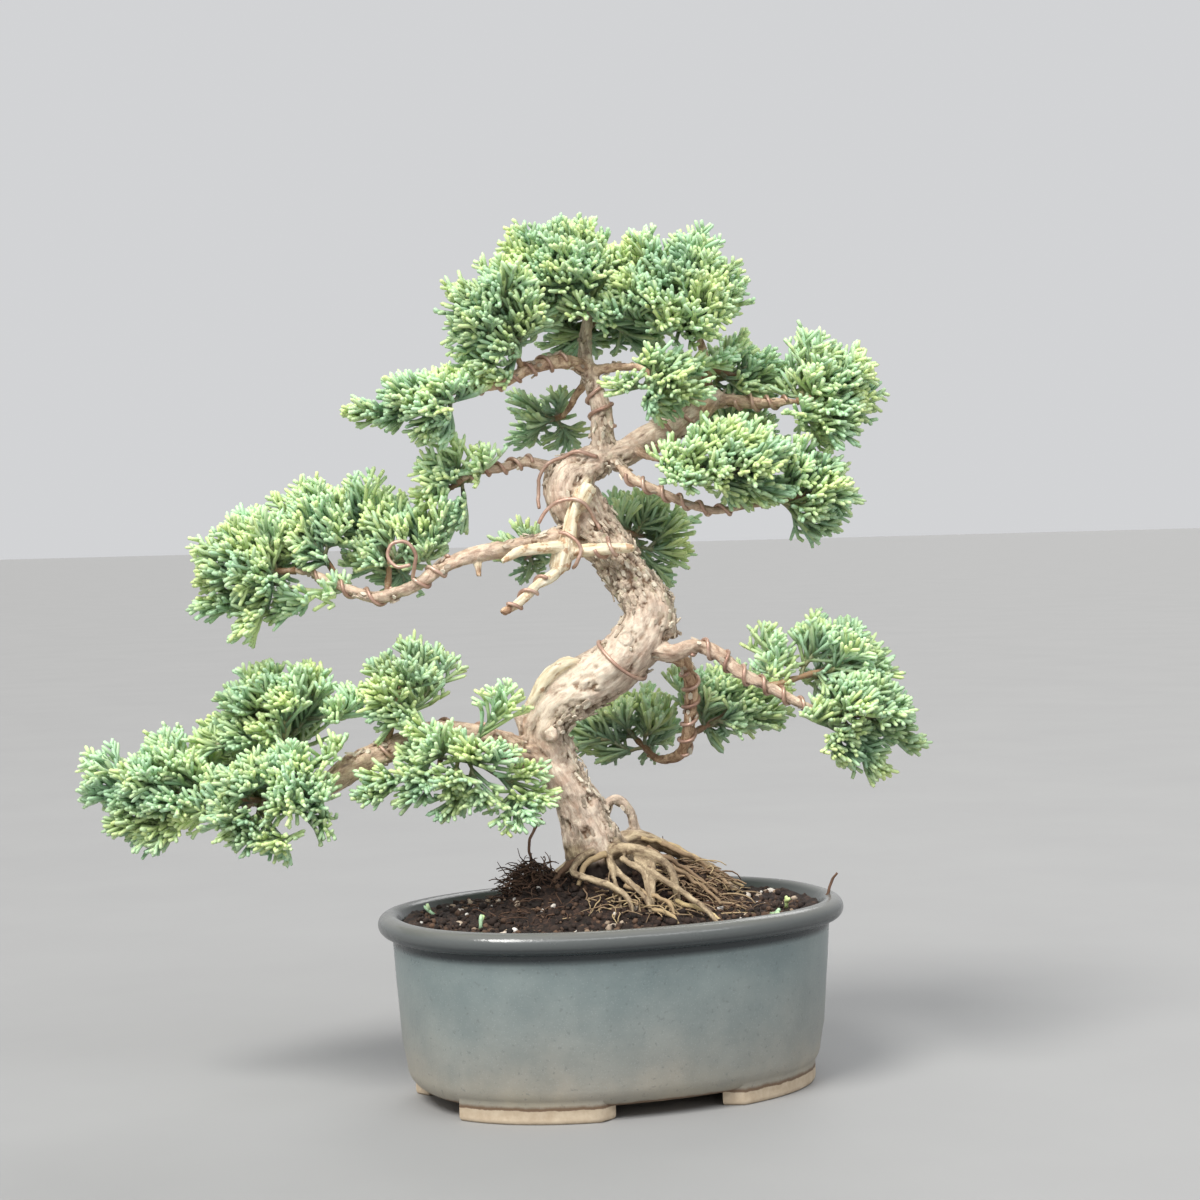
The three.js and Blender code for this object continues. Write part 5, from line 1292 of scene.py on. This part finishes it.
class PadGrowth:
    """A pad grown from a spine that carries branchlets, each of which ends in a fan of shoots."""

    def __init__(self, name, seed):
        limb, at, centre, reach = PADS[name]
        line, along = LIMB_LINES[limb]
        self.name = name
        self.pick = random.Random(seed)
        self.root = np.array([np.interp(at * along[-1], along, line[:, i]) for i in range(3)])
        self.centre, self.reach = np.array(centre, float), np.array(reach, float)
        self.cords = Cords(self.pick)
        self.nodes = np.empty((0, 3))
        self.headings = np.empty((0, 3))
        outward = np.array([*self.centre[:2], 0])
        outward /= max(60.0, np.linalg.norm(outward))
        self.flow = unit(0.5 * unit(self.centre - self.root) + 0.7 * outward + (0, 0, 0.3))

    def add_nodes(self, path, shares, heading):
        self.nodes = np.vstack([self.nodes, [path(share) for share in shares]])
        self.headings = np.vstack([self.headings, [heading] * len(shares)])

    def best_node(self, target):
        """The node that a cord to the target leaves most naturally."""
        ways = target - self.nodes
        lengths = np.linalg.norm(ways, axis=1)
        turns = 1.8 - np.einsum("ij,ij->i", self.headings, ways) / np.maximum(lengths, 0.1)
        return self.nodes[(lengths * turns).argmin()]

    def cord(self, start, target, heading, radii, tips, woody, rings):
        """A cord that arrives at its target in the given direction."""
        span = target - start
        bend = 0.3 * (heading * np.linalg.norm(span) - span)
        way = span - bend
        length = np.linalg.norm(way)
        return self.cords.add(start, way / length, length, radii, tips, woody, bend, rings)

    def grow_spine(self):
        target = self.centre + self.flow * self.reach * 0.25
        path = self.cord(self.root, target, self.flow, SPINE_RADII, (0, 0), 1, 9)
        length = np.linalg.norm(target - self.root)
        self.add_nodes(path, np.arange(0.3, 1.0, NODE_SPACING / length), self.flow)

    def fan_directions(self):
        """Where the fans stand round the pad: fewer below it and on the side of its limb."""
        a, b, c = self.reach**1.6
        area = 4 * math.pi * ((a * b + a * c + b * c) / 3) ** (1 / 1.6)
        count = round(area / (FAN_SPACING * OPEN_PADS.get(self.name, 1)) ** 2)
        directions = even_directions(count, self.pick.uniform(0, 6))
        jitter = [[self.pick.gauss(0, 0.15) for _ in range(3)] for _ in directions]
        chosen = []
        for direction in unit(directions + jitter):
            hidden = direction[2] < -0.5 or direction @ self.flow < -0.6
            if not hidden or self.pick.random() < 0.6:
                chosen.append(direction)
        self.pick.shuffle(chosen)
        return chosen

    def grow_shell(self):
        """Fans all round the pad's oval, set back so that their tips reach it."""
        set_back = self.centre - 0.36 * self.flow * self.reach
        for direction in self.fan_directions():
            spread = direction * self.reach
            size = 6.2 + 0.33 * np.linalg.norm(spread)
            base = set_back + spread * self.pick.uniform(0.36, 0.6)
            self.grow_fan(base, unit(direction / self.reach), size)

    def grow_fan(self, base, outward, size):
        """A branchlet and the spray of shoots that spreads from it, wider than it is thick."""
        pick = self.pick
        heading = unit(0.62 * outward + 0.75 * self.flow + (0, 0, 0.15))
        flat = unit(np.cross(heading, even_directions(7, pick.uniform(0, 6))[3]))
        fan = size * pick.uniform(0.75, 1.3)
        start = self.best_node(base)
        end = base + heading * 0.5 * fan
        path = self.cord(start, end, heading, BRANCHLET_RADII, (0, 0.4), 0.4, 6)
        length = np.linalg.norm(end - start)
        self.add_nodes(path, np.arange(0.25, 0.8, NODE_SPACING / max(length, 4)), unit(end - start))
        shade = pick.uniform(0.75, 1.0)
        count = round(SHOOTS_PER_MM * fan)
        twist = pick.uniform(0, 6)
        for index in range(count):
            opening = (index + 0.5) / count
            way = leaning(heading, WIDEST_LEAN * opening**0.6, twist + index * GOLDEN_ANGLE)
            way = unit(way - FAN_FLATNESS * way.dot(flat) * flat)
            tip = base + way * fan * pick.uniform(0.68, 1.1) * (1.05 - 0.2 * opening)
            foot = path(max(0.12, 0.9 - 0.6 * opening - pick.uniform(0, 0.15)))
            self.grow_shoot(foot, tip, unit(way + 0.3 * heading), flat, shade)

    def grow_shoot(self, start, tip, heading, flat, shade):
        """A shoot that forks to both sides within its spray."""
        pick = self.pick
        bright = shade * pick.uniform(0.75, 1.0)
        path = self.cord(start, tip, heading, SHOOT_RADII, (0.05, bright), 0, 4)
        side = unit(np.cross(heading, flat)) * pick.choice((-1, 1))
        for share, length, likelihood in FORKS:
            side = -side
            if pick.random() > likelihood:
                continue
            lean = math.radians(pick.uniform(*FORK_LEANS))
            away = unit(side + pick.gauss(0, 0.45) * flat)
            way = math.cos(lean) * heading + math.sin(lean) * away
            reach = length * pick.uniform(0.75, 1.2)
            tips = (share * bright, bright)
            bend = 0.12 * reach * heading
            self.cords.add(path(share), way, reach, FORK_RADII, tips, 0, bend, 2)

    def grow(self):
        self.grow_spine()
        self.grow_shell()
        for place in LOOSE_FANS.get(self.name, ()):
            outward = unit(place - self.centre)
            self.grow_fan(np.array(place) - 5 * self.flow, outward, LOOSE_FAN_SIZE)
        return self.cords.shape()


def pad_piece(name, seed, material):
    growth = PadGrowth(name, seed)
    points, faces, values = growth.grow()
    piece = piece_of(f"foliage_{name}", tree_place(points), faces, material)
    away = (points - growth.centre) / (growth.reach + 2)
    drift = np.array([noise.noise(Vector(point) / 11) for point in points.tolist()])
    # Painted light and shade: points far out in the pad and high in it are lit, those deep inside
    # shaded, partly also paler new growth.
    outer = 1.7 * np.linalg.norm(away, axis=1) - 0.95 + 0.3 * away[:, 2] + 0.5 * drift
    tips, woody, tints = values.T
    tints = np.clip(0.5 * tints + 0.25 + 0.6 * drift, 0, 1)
    set_values(piece.data, outer=np.clip(outer, 0, 1), tip=tips, woody=woody, tint=tints)
    settle(piece, "foliage", f"pad_{name}")


# The pot.


def oval_point(half_length, angle):
    """A point of the pot's outline, whose corners are a little fuller than an ellipse's."""
    wide = half_length - RIM_OVERHANG
    narrow = half_length * (WIDE_HALF_LENGTH - RIM_OVERHANG) / WIDE_HALF_LENGTH
    half_width = np.where(half_length > WIDE_HALF_LENGTH, wide, narrow)
    cos, sin = np.cos(angle), np.sin(angle)
    power = 2 / OVAL_POWER
    x = half_length * np.sign(cos) * np.abs(cos) ** power
    y = half_width * np.sign(sin) * np.abs(sin) ** power
    return x, y


def arc_points(inset, height, radius, start, end, count):
    angles = np.radians(np.linspace(start, end, count))
    return [(inset + radius * math.cos(a), height + radius * math.sin(a)) for a in angles]


def inner_profile(drawn_in):
    """The pot's inside from the middle of its floor to its top, or a body a little smaller."""
    inset, height = INNER_FOOT
    corner = height - POT_FLOOR_TOP - drawn_in
    floor = POT_FLOOR_TOP + drawn_in
    round_corner = arc_points(inset + drawn_in + corner, floor + corner, corner, 270, 180, 7)
    top = (INNER_TOP[0] + drawn_in, INNER_TOP[1])
    return [(RIM_HALF_LENGTH, floor), (50, floor), *round_corner, top]


def spun(profile, segments):
    """A profile of (inset, height), from the axis and back to it, taken round the oval."""
    rings = []
    for inset, height in profile[1:-1]:
        x, y = oval_point(RIM_HALF_LENGTH - inset, ring_angles(segments))
        rings.append(np.stack([x, y, np.full(segments, height)], axis=1))
    ends = [(0, 0, profile[i][1]) for i in (0, -1)]
    return capped_rings(np.array(rings), *ends)


def foot_ring(drawn, height):
    """The edge of a foot, drawn in on all sides."""
    outer, inner = FOOT_INSETS
    shrink = drawn / 60
    start, end = (math.radians(angle) for angle in FOOT_ANGLES)
    start, end = start + shrink, end - shrink
    angles = np.linspace(start, end, FOOT_STEPS)
    sides = (
        (outer + drawn, angles),
        ((outer + inner) / 2, [end + FOOT_TIP_ANGLE]),
        (inner - drawn, angles[::-1]),
        ((outer + inner) / 2, [start - FOOT_TIP_ANGLE]),
    )
    places = [oval_point(np.full(len(side), RIM_HALF_LENGTH - inset), side) for inset, side in sides]
    x, y = np.concatenate(places, axis=1)
    return np.stack([x, y, np.full(len(x), height)], axis=1)


def foot_shape(turn_x, turn_y):
    """A foot: an oval strip under the pot's edge, its lower edge rounded off."""
    rings = np.array([foot_ring(drawn, height) for height, drawn in FOOT_LEVELS])
    count, corners = rings.shape[:2]
    top = (count - 1) * corners
    faces = [list(range(corners))[::-1], list(range(top, top + corners))]
    faces += ring_faces(count, corners)
    if turn_x * turn_y < 0:
        faces = [face[::-1] for face in faces]
    return (rings * (turn_x, turn_y, 1)).reshape(-1, 3), faces


def drain_shape(x):
    centres = np.array([(x, 0, z) for z in (-2, 2, 6, 10, 14, 18)], float)
    return tube(centres, DRAIN_RADIUS, 40)


def pot_body():
    corner = WALL_CORNER_RADIUS
    middle = POT_HEIGHT - RIM_ROLL_RADIUS
    outside = [
        (RIM_HALF_LENGTH, FOOT_HEIGHT),
        (50, FOOT_HEIGHT),
        (30, FOOT_HEIGHT),
        *arc_points(WALL_FOOT_INSET + corner, FOOT_HEIGHT + corner, corner, 270, 180, 9),
        *WALL,
        *arc_points(RIM_ROLL_INSET, middle, RIM_ROLL_RADIUS, 245, 40, 20),
    ]
    return spun([*outside, *inner_profile(0)[::-1]], POT_SEGMENTS)


def boolean(piece, operation, shape, material):
    """Join a shape to the piece, or cut it out."""
    points, faces = shape
    other = piece_of(operation.lower(), points * MM, faces, material)
    modifier = piece.modifiers.new(operation.lower(), "BOOLEAN")
    modifier.operation = operation
    modifier.solver = "EXACT"
    modifier.object = other
    apply_modifiers(piece)
    bpy.data.objects.remove(other)


def pot_piece(material):
    points, faces = pot_body()
    piece = piece_of("glazed_pot", points * MM, faces, material)
    for turn_x, turn_y in ((1, 1), (-1, 1), (1, -1), (-1, -1)):
        boolean(piece, "UNION", foot_shape(turn_x, turn_y), material)
    for x in (-DRAIN_PLACE, DRAIN_PLACE):
        boolean(piece, "DIFFERENCE", drain_shape(x), material)
    mesh = piece.data
    points = vectors_of(mesh.vertices, "co") / MM
    waves = np.array([noise.noise(Vector(point) / 34) for point in points.tolist()])
    on_wall = np.clip((points[:, 2] - 6) / 8, 0, 1) * (points[:, 2] > FOOT_HEIGHT)
    outward = unit(points * (1, 1, 0) + (1e-6, 0, 0))
    points += outward * (0.25 * waves * on_wall)[:, None]
    move_points(mesh, pot_place(points))
    mesh.set_sharp_from_angle(angle=math.radians(45))
    # Painted shade inside the pot: how far each point faces inwards, above the floor.
    facing_in = -np.einsum("ij,ij->i", vectors_of(mesh.vertex_normals, "vector"), outward)
    above_floor = points[:, 2] > POT_FLOOR_TOP
    set_values(mesh, inside=np.clip(1.8 * facing_in - 0.3, 0, 1) * above_floor)
    settle(piece, "glaze", "pot")


# The soil and what lies on it.


def soil_height(x, y):
    away = math.hypot(x / RIM_HALF_LENGTH, y / RIM_HALF_WIDTH)
    height = SOIL_EDGE + SOIL_RISE * math.exp(-((away / SOIL_SPREAD) ** 2))
    right = x * math.cos(TREE_TURN) + y * math.sin(TREE_TURN)
    back = y * math.cos(TREE_TURN) - x * math.sin(TREE_TURN)
    for middle, reach, rise in SOIL_HUMPS:
        hump_away = math.hypot((right - middle[0]) / reach[0], (back - middle[1]) / reach[1])
        height += rise * math.exp(-(hump_away**2))
    return height


def crumbled(x, y):
    """The height of the crumbly soil over a place in the pot."""
    near, far = noise.voronoi(Vector((x / 2.6, y / 2.6, 0)))[0][:2]
    clump = min(1.0, (far - near) * 1.6)
    rough = noise.fractal(Vector((x / 3.1, y / 3.1, 4.2)), 1.0, 2.1, 4)
    wide = noise.noise(Vector((x / 11, y / 11, 1.7)))
    at_wall = max(0, math.hypot(x / RIM_HALF_LENGTH, y / RIM_HALF_WIDTH) - 0.5)
    return soil_height(x, y) + 3.2 * at_wall + 1.1 * clump - 0.4 + 0.9 * rough + 0.9 * wide


def soil_piece(material):
    body = inner_profile(GAP)[:-1]
    reach = RIM_HALF_LENGTH - SOIL_INSET
    surface = [(SOIL_INSET + reach * ring / SOIL_RINGS, 0) for ring in range(SOIL_RINGS)]
    points, faces = spun([*body, *surface, (RIM_HALF_LENGTH, 0)], SOIL_SEGMENTS)
    for index in np.flatnonzero(points[:, 2] == 0):
        points[index, 2] = crumbled(*points[index, :2])
    edge = (len(body) - 1) * SOIL_SEGMENTS
    edge_heights = points[edge : edge + SOIL_SEGMENTS, 2]
    np.minimum(edge_heights, SOIL_EDGE_TOP, out=edge_heights)
    settle(piece_of("soil_bed", pot_place(points), faces, material), "soil", "soil")


def ball_shape():
    """The corners and faces of a regular ball of 20 triangles."""
    golden = (1 + 5**0.5) / 2
    corners = [(-1, golden, 0), (1, golden, 0), (-1, -golden, 0), (1, -golden, 0)]
    signs = ((-1, 1), (1, 1), (-1, -1), (1, -1))
    corners += [(0, a, b * golden) for a, b in signs]
    corners += [(b * golden, 0, a) for a, b in signs]
    faces = [
        (0, 11, 5), (0, 5, 1), (0, 1, 7), (0, 7, 10), (0, 10, 11), (1, 5, 9), (5, 11, 4),
        (11, 10, 2), (10, 7, 6), (7, 1, 8), (3, 9, 4), (3, 4, 2), (3, 2, 6), (3, 6, 8),
        (3, 8, 9), (4, 9, 5), (2, 4, 11), (6, 2, 10), (8, 6, 7), (9, 8, 1),
    ]
    return unit(corners), faces


def split_faces(points, faces):
    """Each triangle in four, with the new corners on the unit ball."""
    points = [tuple(point) for point in points]
    halves = {}

    def half(a, b):
        key = (min(a, b), max(a, b))
        if key not in halves:
            halves[key] = len(points)
            points.append(tuple(unit(np.add(points[a], points[b]))))
        return halves[key]

    split = []
    for a, b, c in faces:
        ab, bc, ca = half(a, b), half(b, c), half(c, a)
        split += [(a, ab, ca), (ab, b, bc), (ca, bc, c), (ab, bc, ca)]
    return np.array(points), split


CRUMB_SHAPE = ball_shape()
GRIT_SHAPE = split_faces(*CRUMB_SHAPE)
LUMP_INSET = 10.5
LUMP_REACH = 0.965
LUMP_SIZES = (0.5, 1.5)
BIG_LUMPS = 0.12
BIG_LUMP_SCALE = 1.4
LUMP_LIFT = 0.3


def lump(shape, size, flat, pick):
    """A small irregular stone or crumb."""
    points, faces = shape
    jitter = np.array([pick.uniform(0.7, 1.2) for _ in points])[:, None]
    turns = [Matrix.Rotation(pick.uniform(0, 6.28), 3, axis) for axis in "ZX"]
    shaped = points * jitter * size * (1, pick.uniform(0.6, 1), flat)
    return shaped @ np.array(turns[0] @ turns[1]).T, faces


def lumps_piece(name, count, shape, flat, material):
    pick = random.Random(SEEDS[name])
    shapes = []
    tints = []
    for _ in range(count):
        angle = pick.uniform(0, 2 * math.pi)
        share = math.sqrt(pick.random()) * LUMP_REACH
        x, y = (float(reach) * share for reach in oval_point(RIM_HALF_LENGTH - LUMP_INSET, angle))
        size = pick.uniform(*LUMP_SIZES) * (BIG_LUMP_SCALE if pick.random() < BIG_LUMPS else 1)
        points, faces = lump(shape, size, flat, pick)
        shapes.append((points + (x, y, crumbled(x, y) + LUMP_LIFT * size), faces))
        tints.append(pick.random())
    tinted_piece(name, shapes, tints, "soil", material)


def rootlet(start, heading, length, radius, pick):
    """A fine root that wanders and comes back down to the soil."""
    points = [start]
    way = heading
    steps = 5
    for step in range(steps):
        wander = np.array([pick.uniform(-1, 1), pick.uniform(-1, 1), pick.uniform(-0.6, 0.4)])
        way = unit(way + 0.5 * wander - (0, 0, 0.25 * step / steps))
        points.append(points[-1] + way * length / steps)
    line, _ = smooth_line(points, length / 7)
    return tube(line, np.linspace(radius, 0.5 * radius, len(line)), 4)


def fine_roots_piece(material):
    """Bundles of fine roots, most of which run away from the trunk."""
    pick = random.Random(SEEDS["fine_roots"])
    shapes = []
    tints = []
    for middle, spread, count, lengths, rises, thick, pile, tone in ROOT_BUNDLES:
        for _ in range(count):
            offset = [pick.gauss(0, 0.55), pick.gauss(0, 0.55)]
            x, y = plan_place([m + s * o for m, s, o in zip(middle, spread, offset)])
            height = pile * pick.random() * max(0, 1 - math.hypot(*offset))
            start = np.array([x, y, crumbled(x, y) - 0.4 + height])
            turn = math.atan2(y, x) + pick.gauss(0, 0.9)
            heading = unit((math.cos(turn), math.sin(turn), pick.uniform(*rises)))
            radius = pick.uniform(0.5, 1) * thick
            shapes.append(rootlet(start, heading, pick.uniform(*lengths), radius, pick))
            tints.append(tone + pick.uniform(-0.2, 0.2))
    tinted_piece("fine_roots", shapes, tints, "bark", material)


def surface_roots_piece(material):
    """The roots of middling thickness that lie bare on the soil."""
    pick = random.Random(SEEDS["surface_roots"])
    # Without a seed the clock sets where noise_vector starts.
    noise.seed_set(SEEDS["surface_roots"])
    shapes = []
    tints = []
    for *stations, tone in SURFACE_ROOTS:
        line, _ = smooth_line(stations, 0.9)
        centres, radii = line[:, :3], line[:, 3]
        places = [Vector(point) for point in centres.tolist()]
        wander = np.array([noise.noise_vector(place / 3.5) for place in places])
        knobs = np.array([1 + 0.25 * noise.noise(place / 1.5) for place in places])
        shapes.append(tube(centres + 0.9 * wander, radii * knobs, 7))
        tints.append(tone + pick.uniform(-0.08, 0.08))
    tinted_piece("surface_roots", shapes, tints, "bark", material, tree_place)


def fallen_leaves_piece(material):
    """Cut ends of foliage on the soil, each a shoot with one fork."""
    pick = random.Random(SEEDS["fallen_leaves"])
    cords = Cords(pick)
    straight = np.zeros(3)
    for right, back in FALLEN_LEAVES:
        start = np.array([right, back, crumbled(*plan_place((right, back))) + 0.5])
        heading = unit((pick.uniform(-1, 1), pick.uniform(-0.6, 0.2), pick.uniform(0.1, 0.9)))
        path = cords.add(start, heading, 5, (0.7, 0.7), (0.3, 0.8), 0, straight, 4)
        fork = leaning(heading, 0.6, pick.uniform(0, 6))
        cords.add(path(0.5), fork, 2.6, (0.66, 0.72), (0.5, 0.8), 0, straight, 2)
    points, faces, values = cords.shape()
    piece = piece_of("fallen_leaves", tree_place(points), faces, material)
    tips, woody, tints = values.T
    # A fixed middle share of the pads' painted light and shade.
    set_values(piece.data, outer=np.full(len(points), 0.6), tip=tips, woody=woody, tint=tints)
    settle(piece, "foliage")


# The stage.


def floor_piece():
    corners = [(-1, -1, 0), (1, -1, 0), (1, 1, 0), (-1, 1, 0)]
    material = cloudy_material("pale_floor", 0.7, (8.0, 3.0), FLOOR_COLOURS)
    piece_of("floor", np.array(corners) * FLOOR_REACH, [[0, 1, 2, 3]], material)


def tree_way(right, back, up):
    """A direction as seen from the tree's front, in the frame."""
    return Vector(turned_to_frame((right, back, up)))


def front_camera():
    cos, sin = math.cos(CAMERA_LOOKS_DOWN), math.sin(CAMERA_LOOKS_DOWN)
    forward = tree_way(0, cos, -sin)
    level_right = tree_way(1, 0, 0)
    level_up = tree_way(0, sin, cos)
    right = math.cos(CAMERA_ROLL) * level_right - math.sin(CAMERA_ROLL) * level_up
    up = math.cos(CAMERA_ROLL) * level_up + math.sin(CAMERA_ROLL) * level_right
    data = bpy.data.cameras.new("camera")
    data.lens = CAMERA_LENS
    data.sensor_width = SENSOR_WIDTH
    data.clip_start = 0.01
    camera = object_of("camera", data)
    turn = Matrix((right, up, -forward)).transposed()
    camera.matrix_world = Matrix.Translation(Vector(tree_place(CAMERA_PLACE))) @ turn.to_4x4()
    scene.camera = camera


def lamp(name, kind, place, width, strength, colour):
    data = bpy.data.lights.new(name, kind)
    if kind == "SUN":
        data.angle = width
    else:
        data.shape = "RECTANGLE"
        data.size = width
        data.size_y = STRIP_HEIGHT
    data.energy = strength
    data.color = colour
    made = object_of(name, data)
    made.location = Vector(tree_place(place))
    aim = Vector(tree_place(LAMP_AIM)) - made.location
    made.rotation_euler = aim.to_track_quat("-Z", "Y").to_euler()


def studio():
    world = bpy.data.worlds.new("studio")
    world.use_nodes = True
    background = world.node_tree.nodes["Background"]
    background.inputs["Color"].default_value = STUDIO_COLOUR
    background.inputs["Strength"].default_value = STUDIO_STRENGTH
    scene.world = world


def dress_drains(wire_metal):
    """The screens and clips over the drain holes keep their CAD shapes."""
    plastic = cloudy_material("black_mesh", 0.55, (700.0, 3.0), MESH_COLOURS, 0.2, 0.0003)
    for side in ("left", "right"):
        for kind, material in (("screen", plastic), ("clip", wire_metal)):
            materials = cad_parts[f"drain_{kind}_{side}"].data.materials
            materials.clear()
            materials.append(material)


front_camera()
for lamp_name, settings in LAMPS.items():
    lamp(lamp_name, *settings)
studio()
floor_piece()
scene.view_settings.view_transform = "Standard"

wire_metal = wire_material()
leaves = foliage_material()
root_skin = tinted_material("root_skin", ROOT_COLOURS, 600.0)
crumbs = tinted_material("peat_crumbs", CRUMB_COLOURS, 700.0)
grit = tinted_material("pale_grit", GRIT_COLOURS, 500.0)

bark_surface, bark_places = wood_piece(bark_material())
flakes_piece(*bark_places)
wire_pieces(wire_metal, bark_surface)
for index, pad_name in enumerate(PADS):
    pad_piece(pad_name, FIRST_PAD_SEED + PAD_SEED_STEP * index, leaves)
pot_piece(glaze_material())
soil_piece(cloudy_material("damp_peat", 0.95, (380.0, 5.0, 0.7), PEAT_COLOURS, 0.9, 0.0012))
lumps_piece("soil_crumbs", 1500, CRUMB_SHAPE, 0.8, crumbs)
lumps_piece("soil_grit", 130, GRIT_SHAPE, 0.7, grit)
fine_roots_piece(root_skin)
surface_roots_piece(root_skin)
fallen_leaves_piece(leaves)
dress_drains(wire_metal)
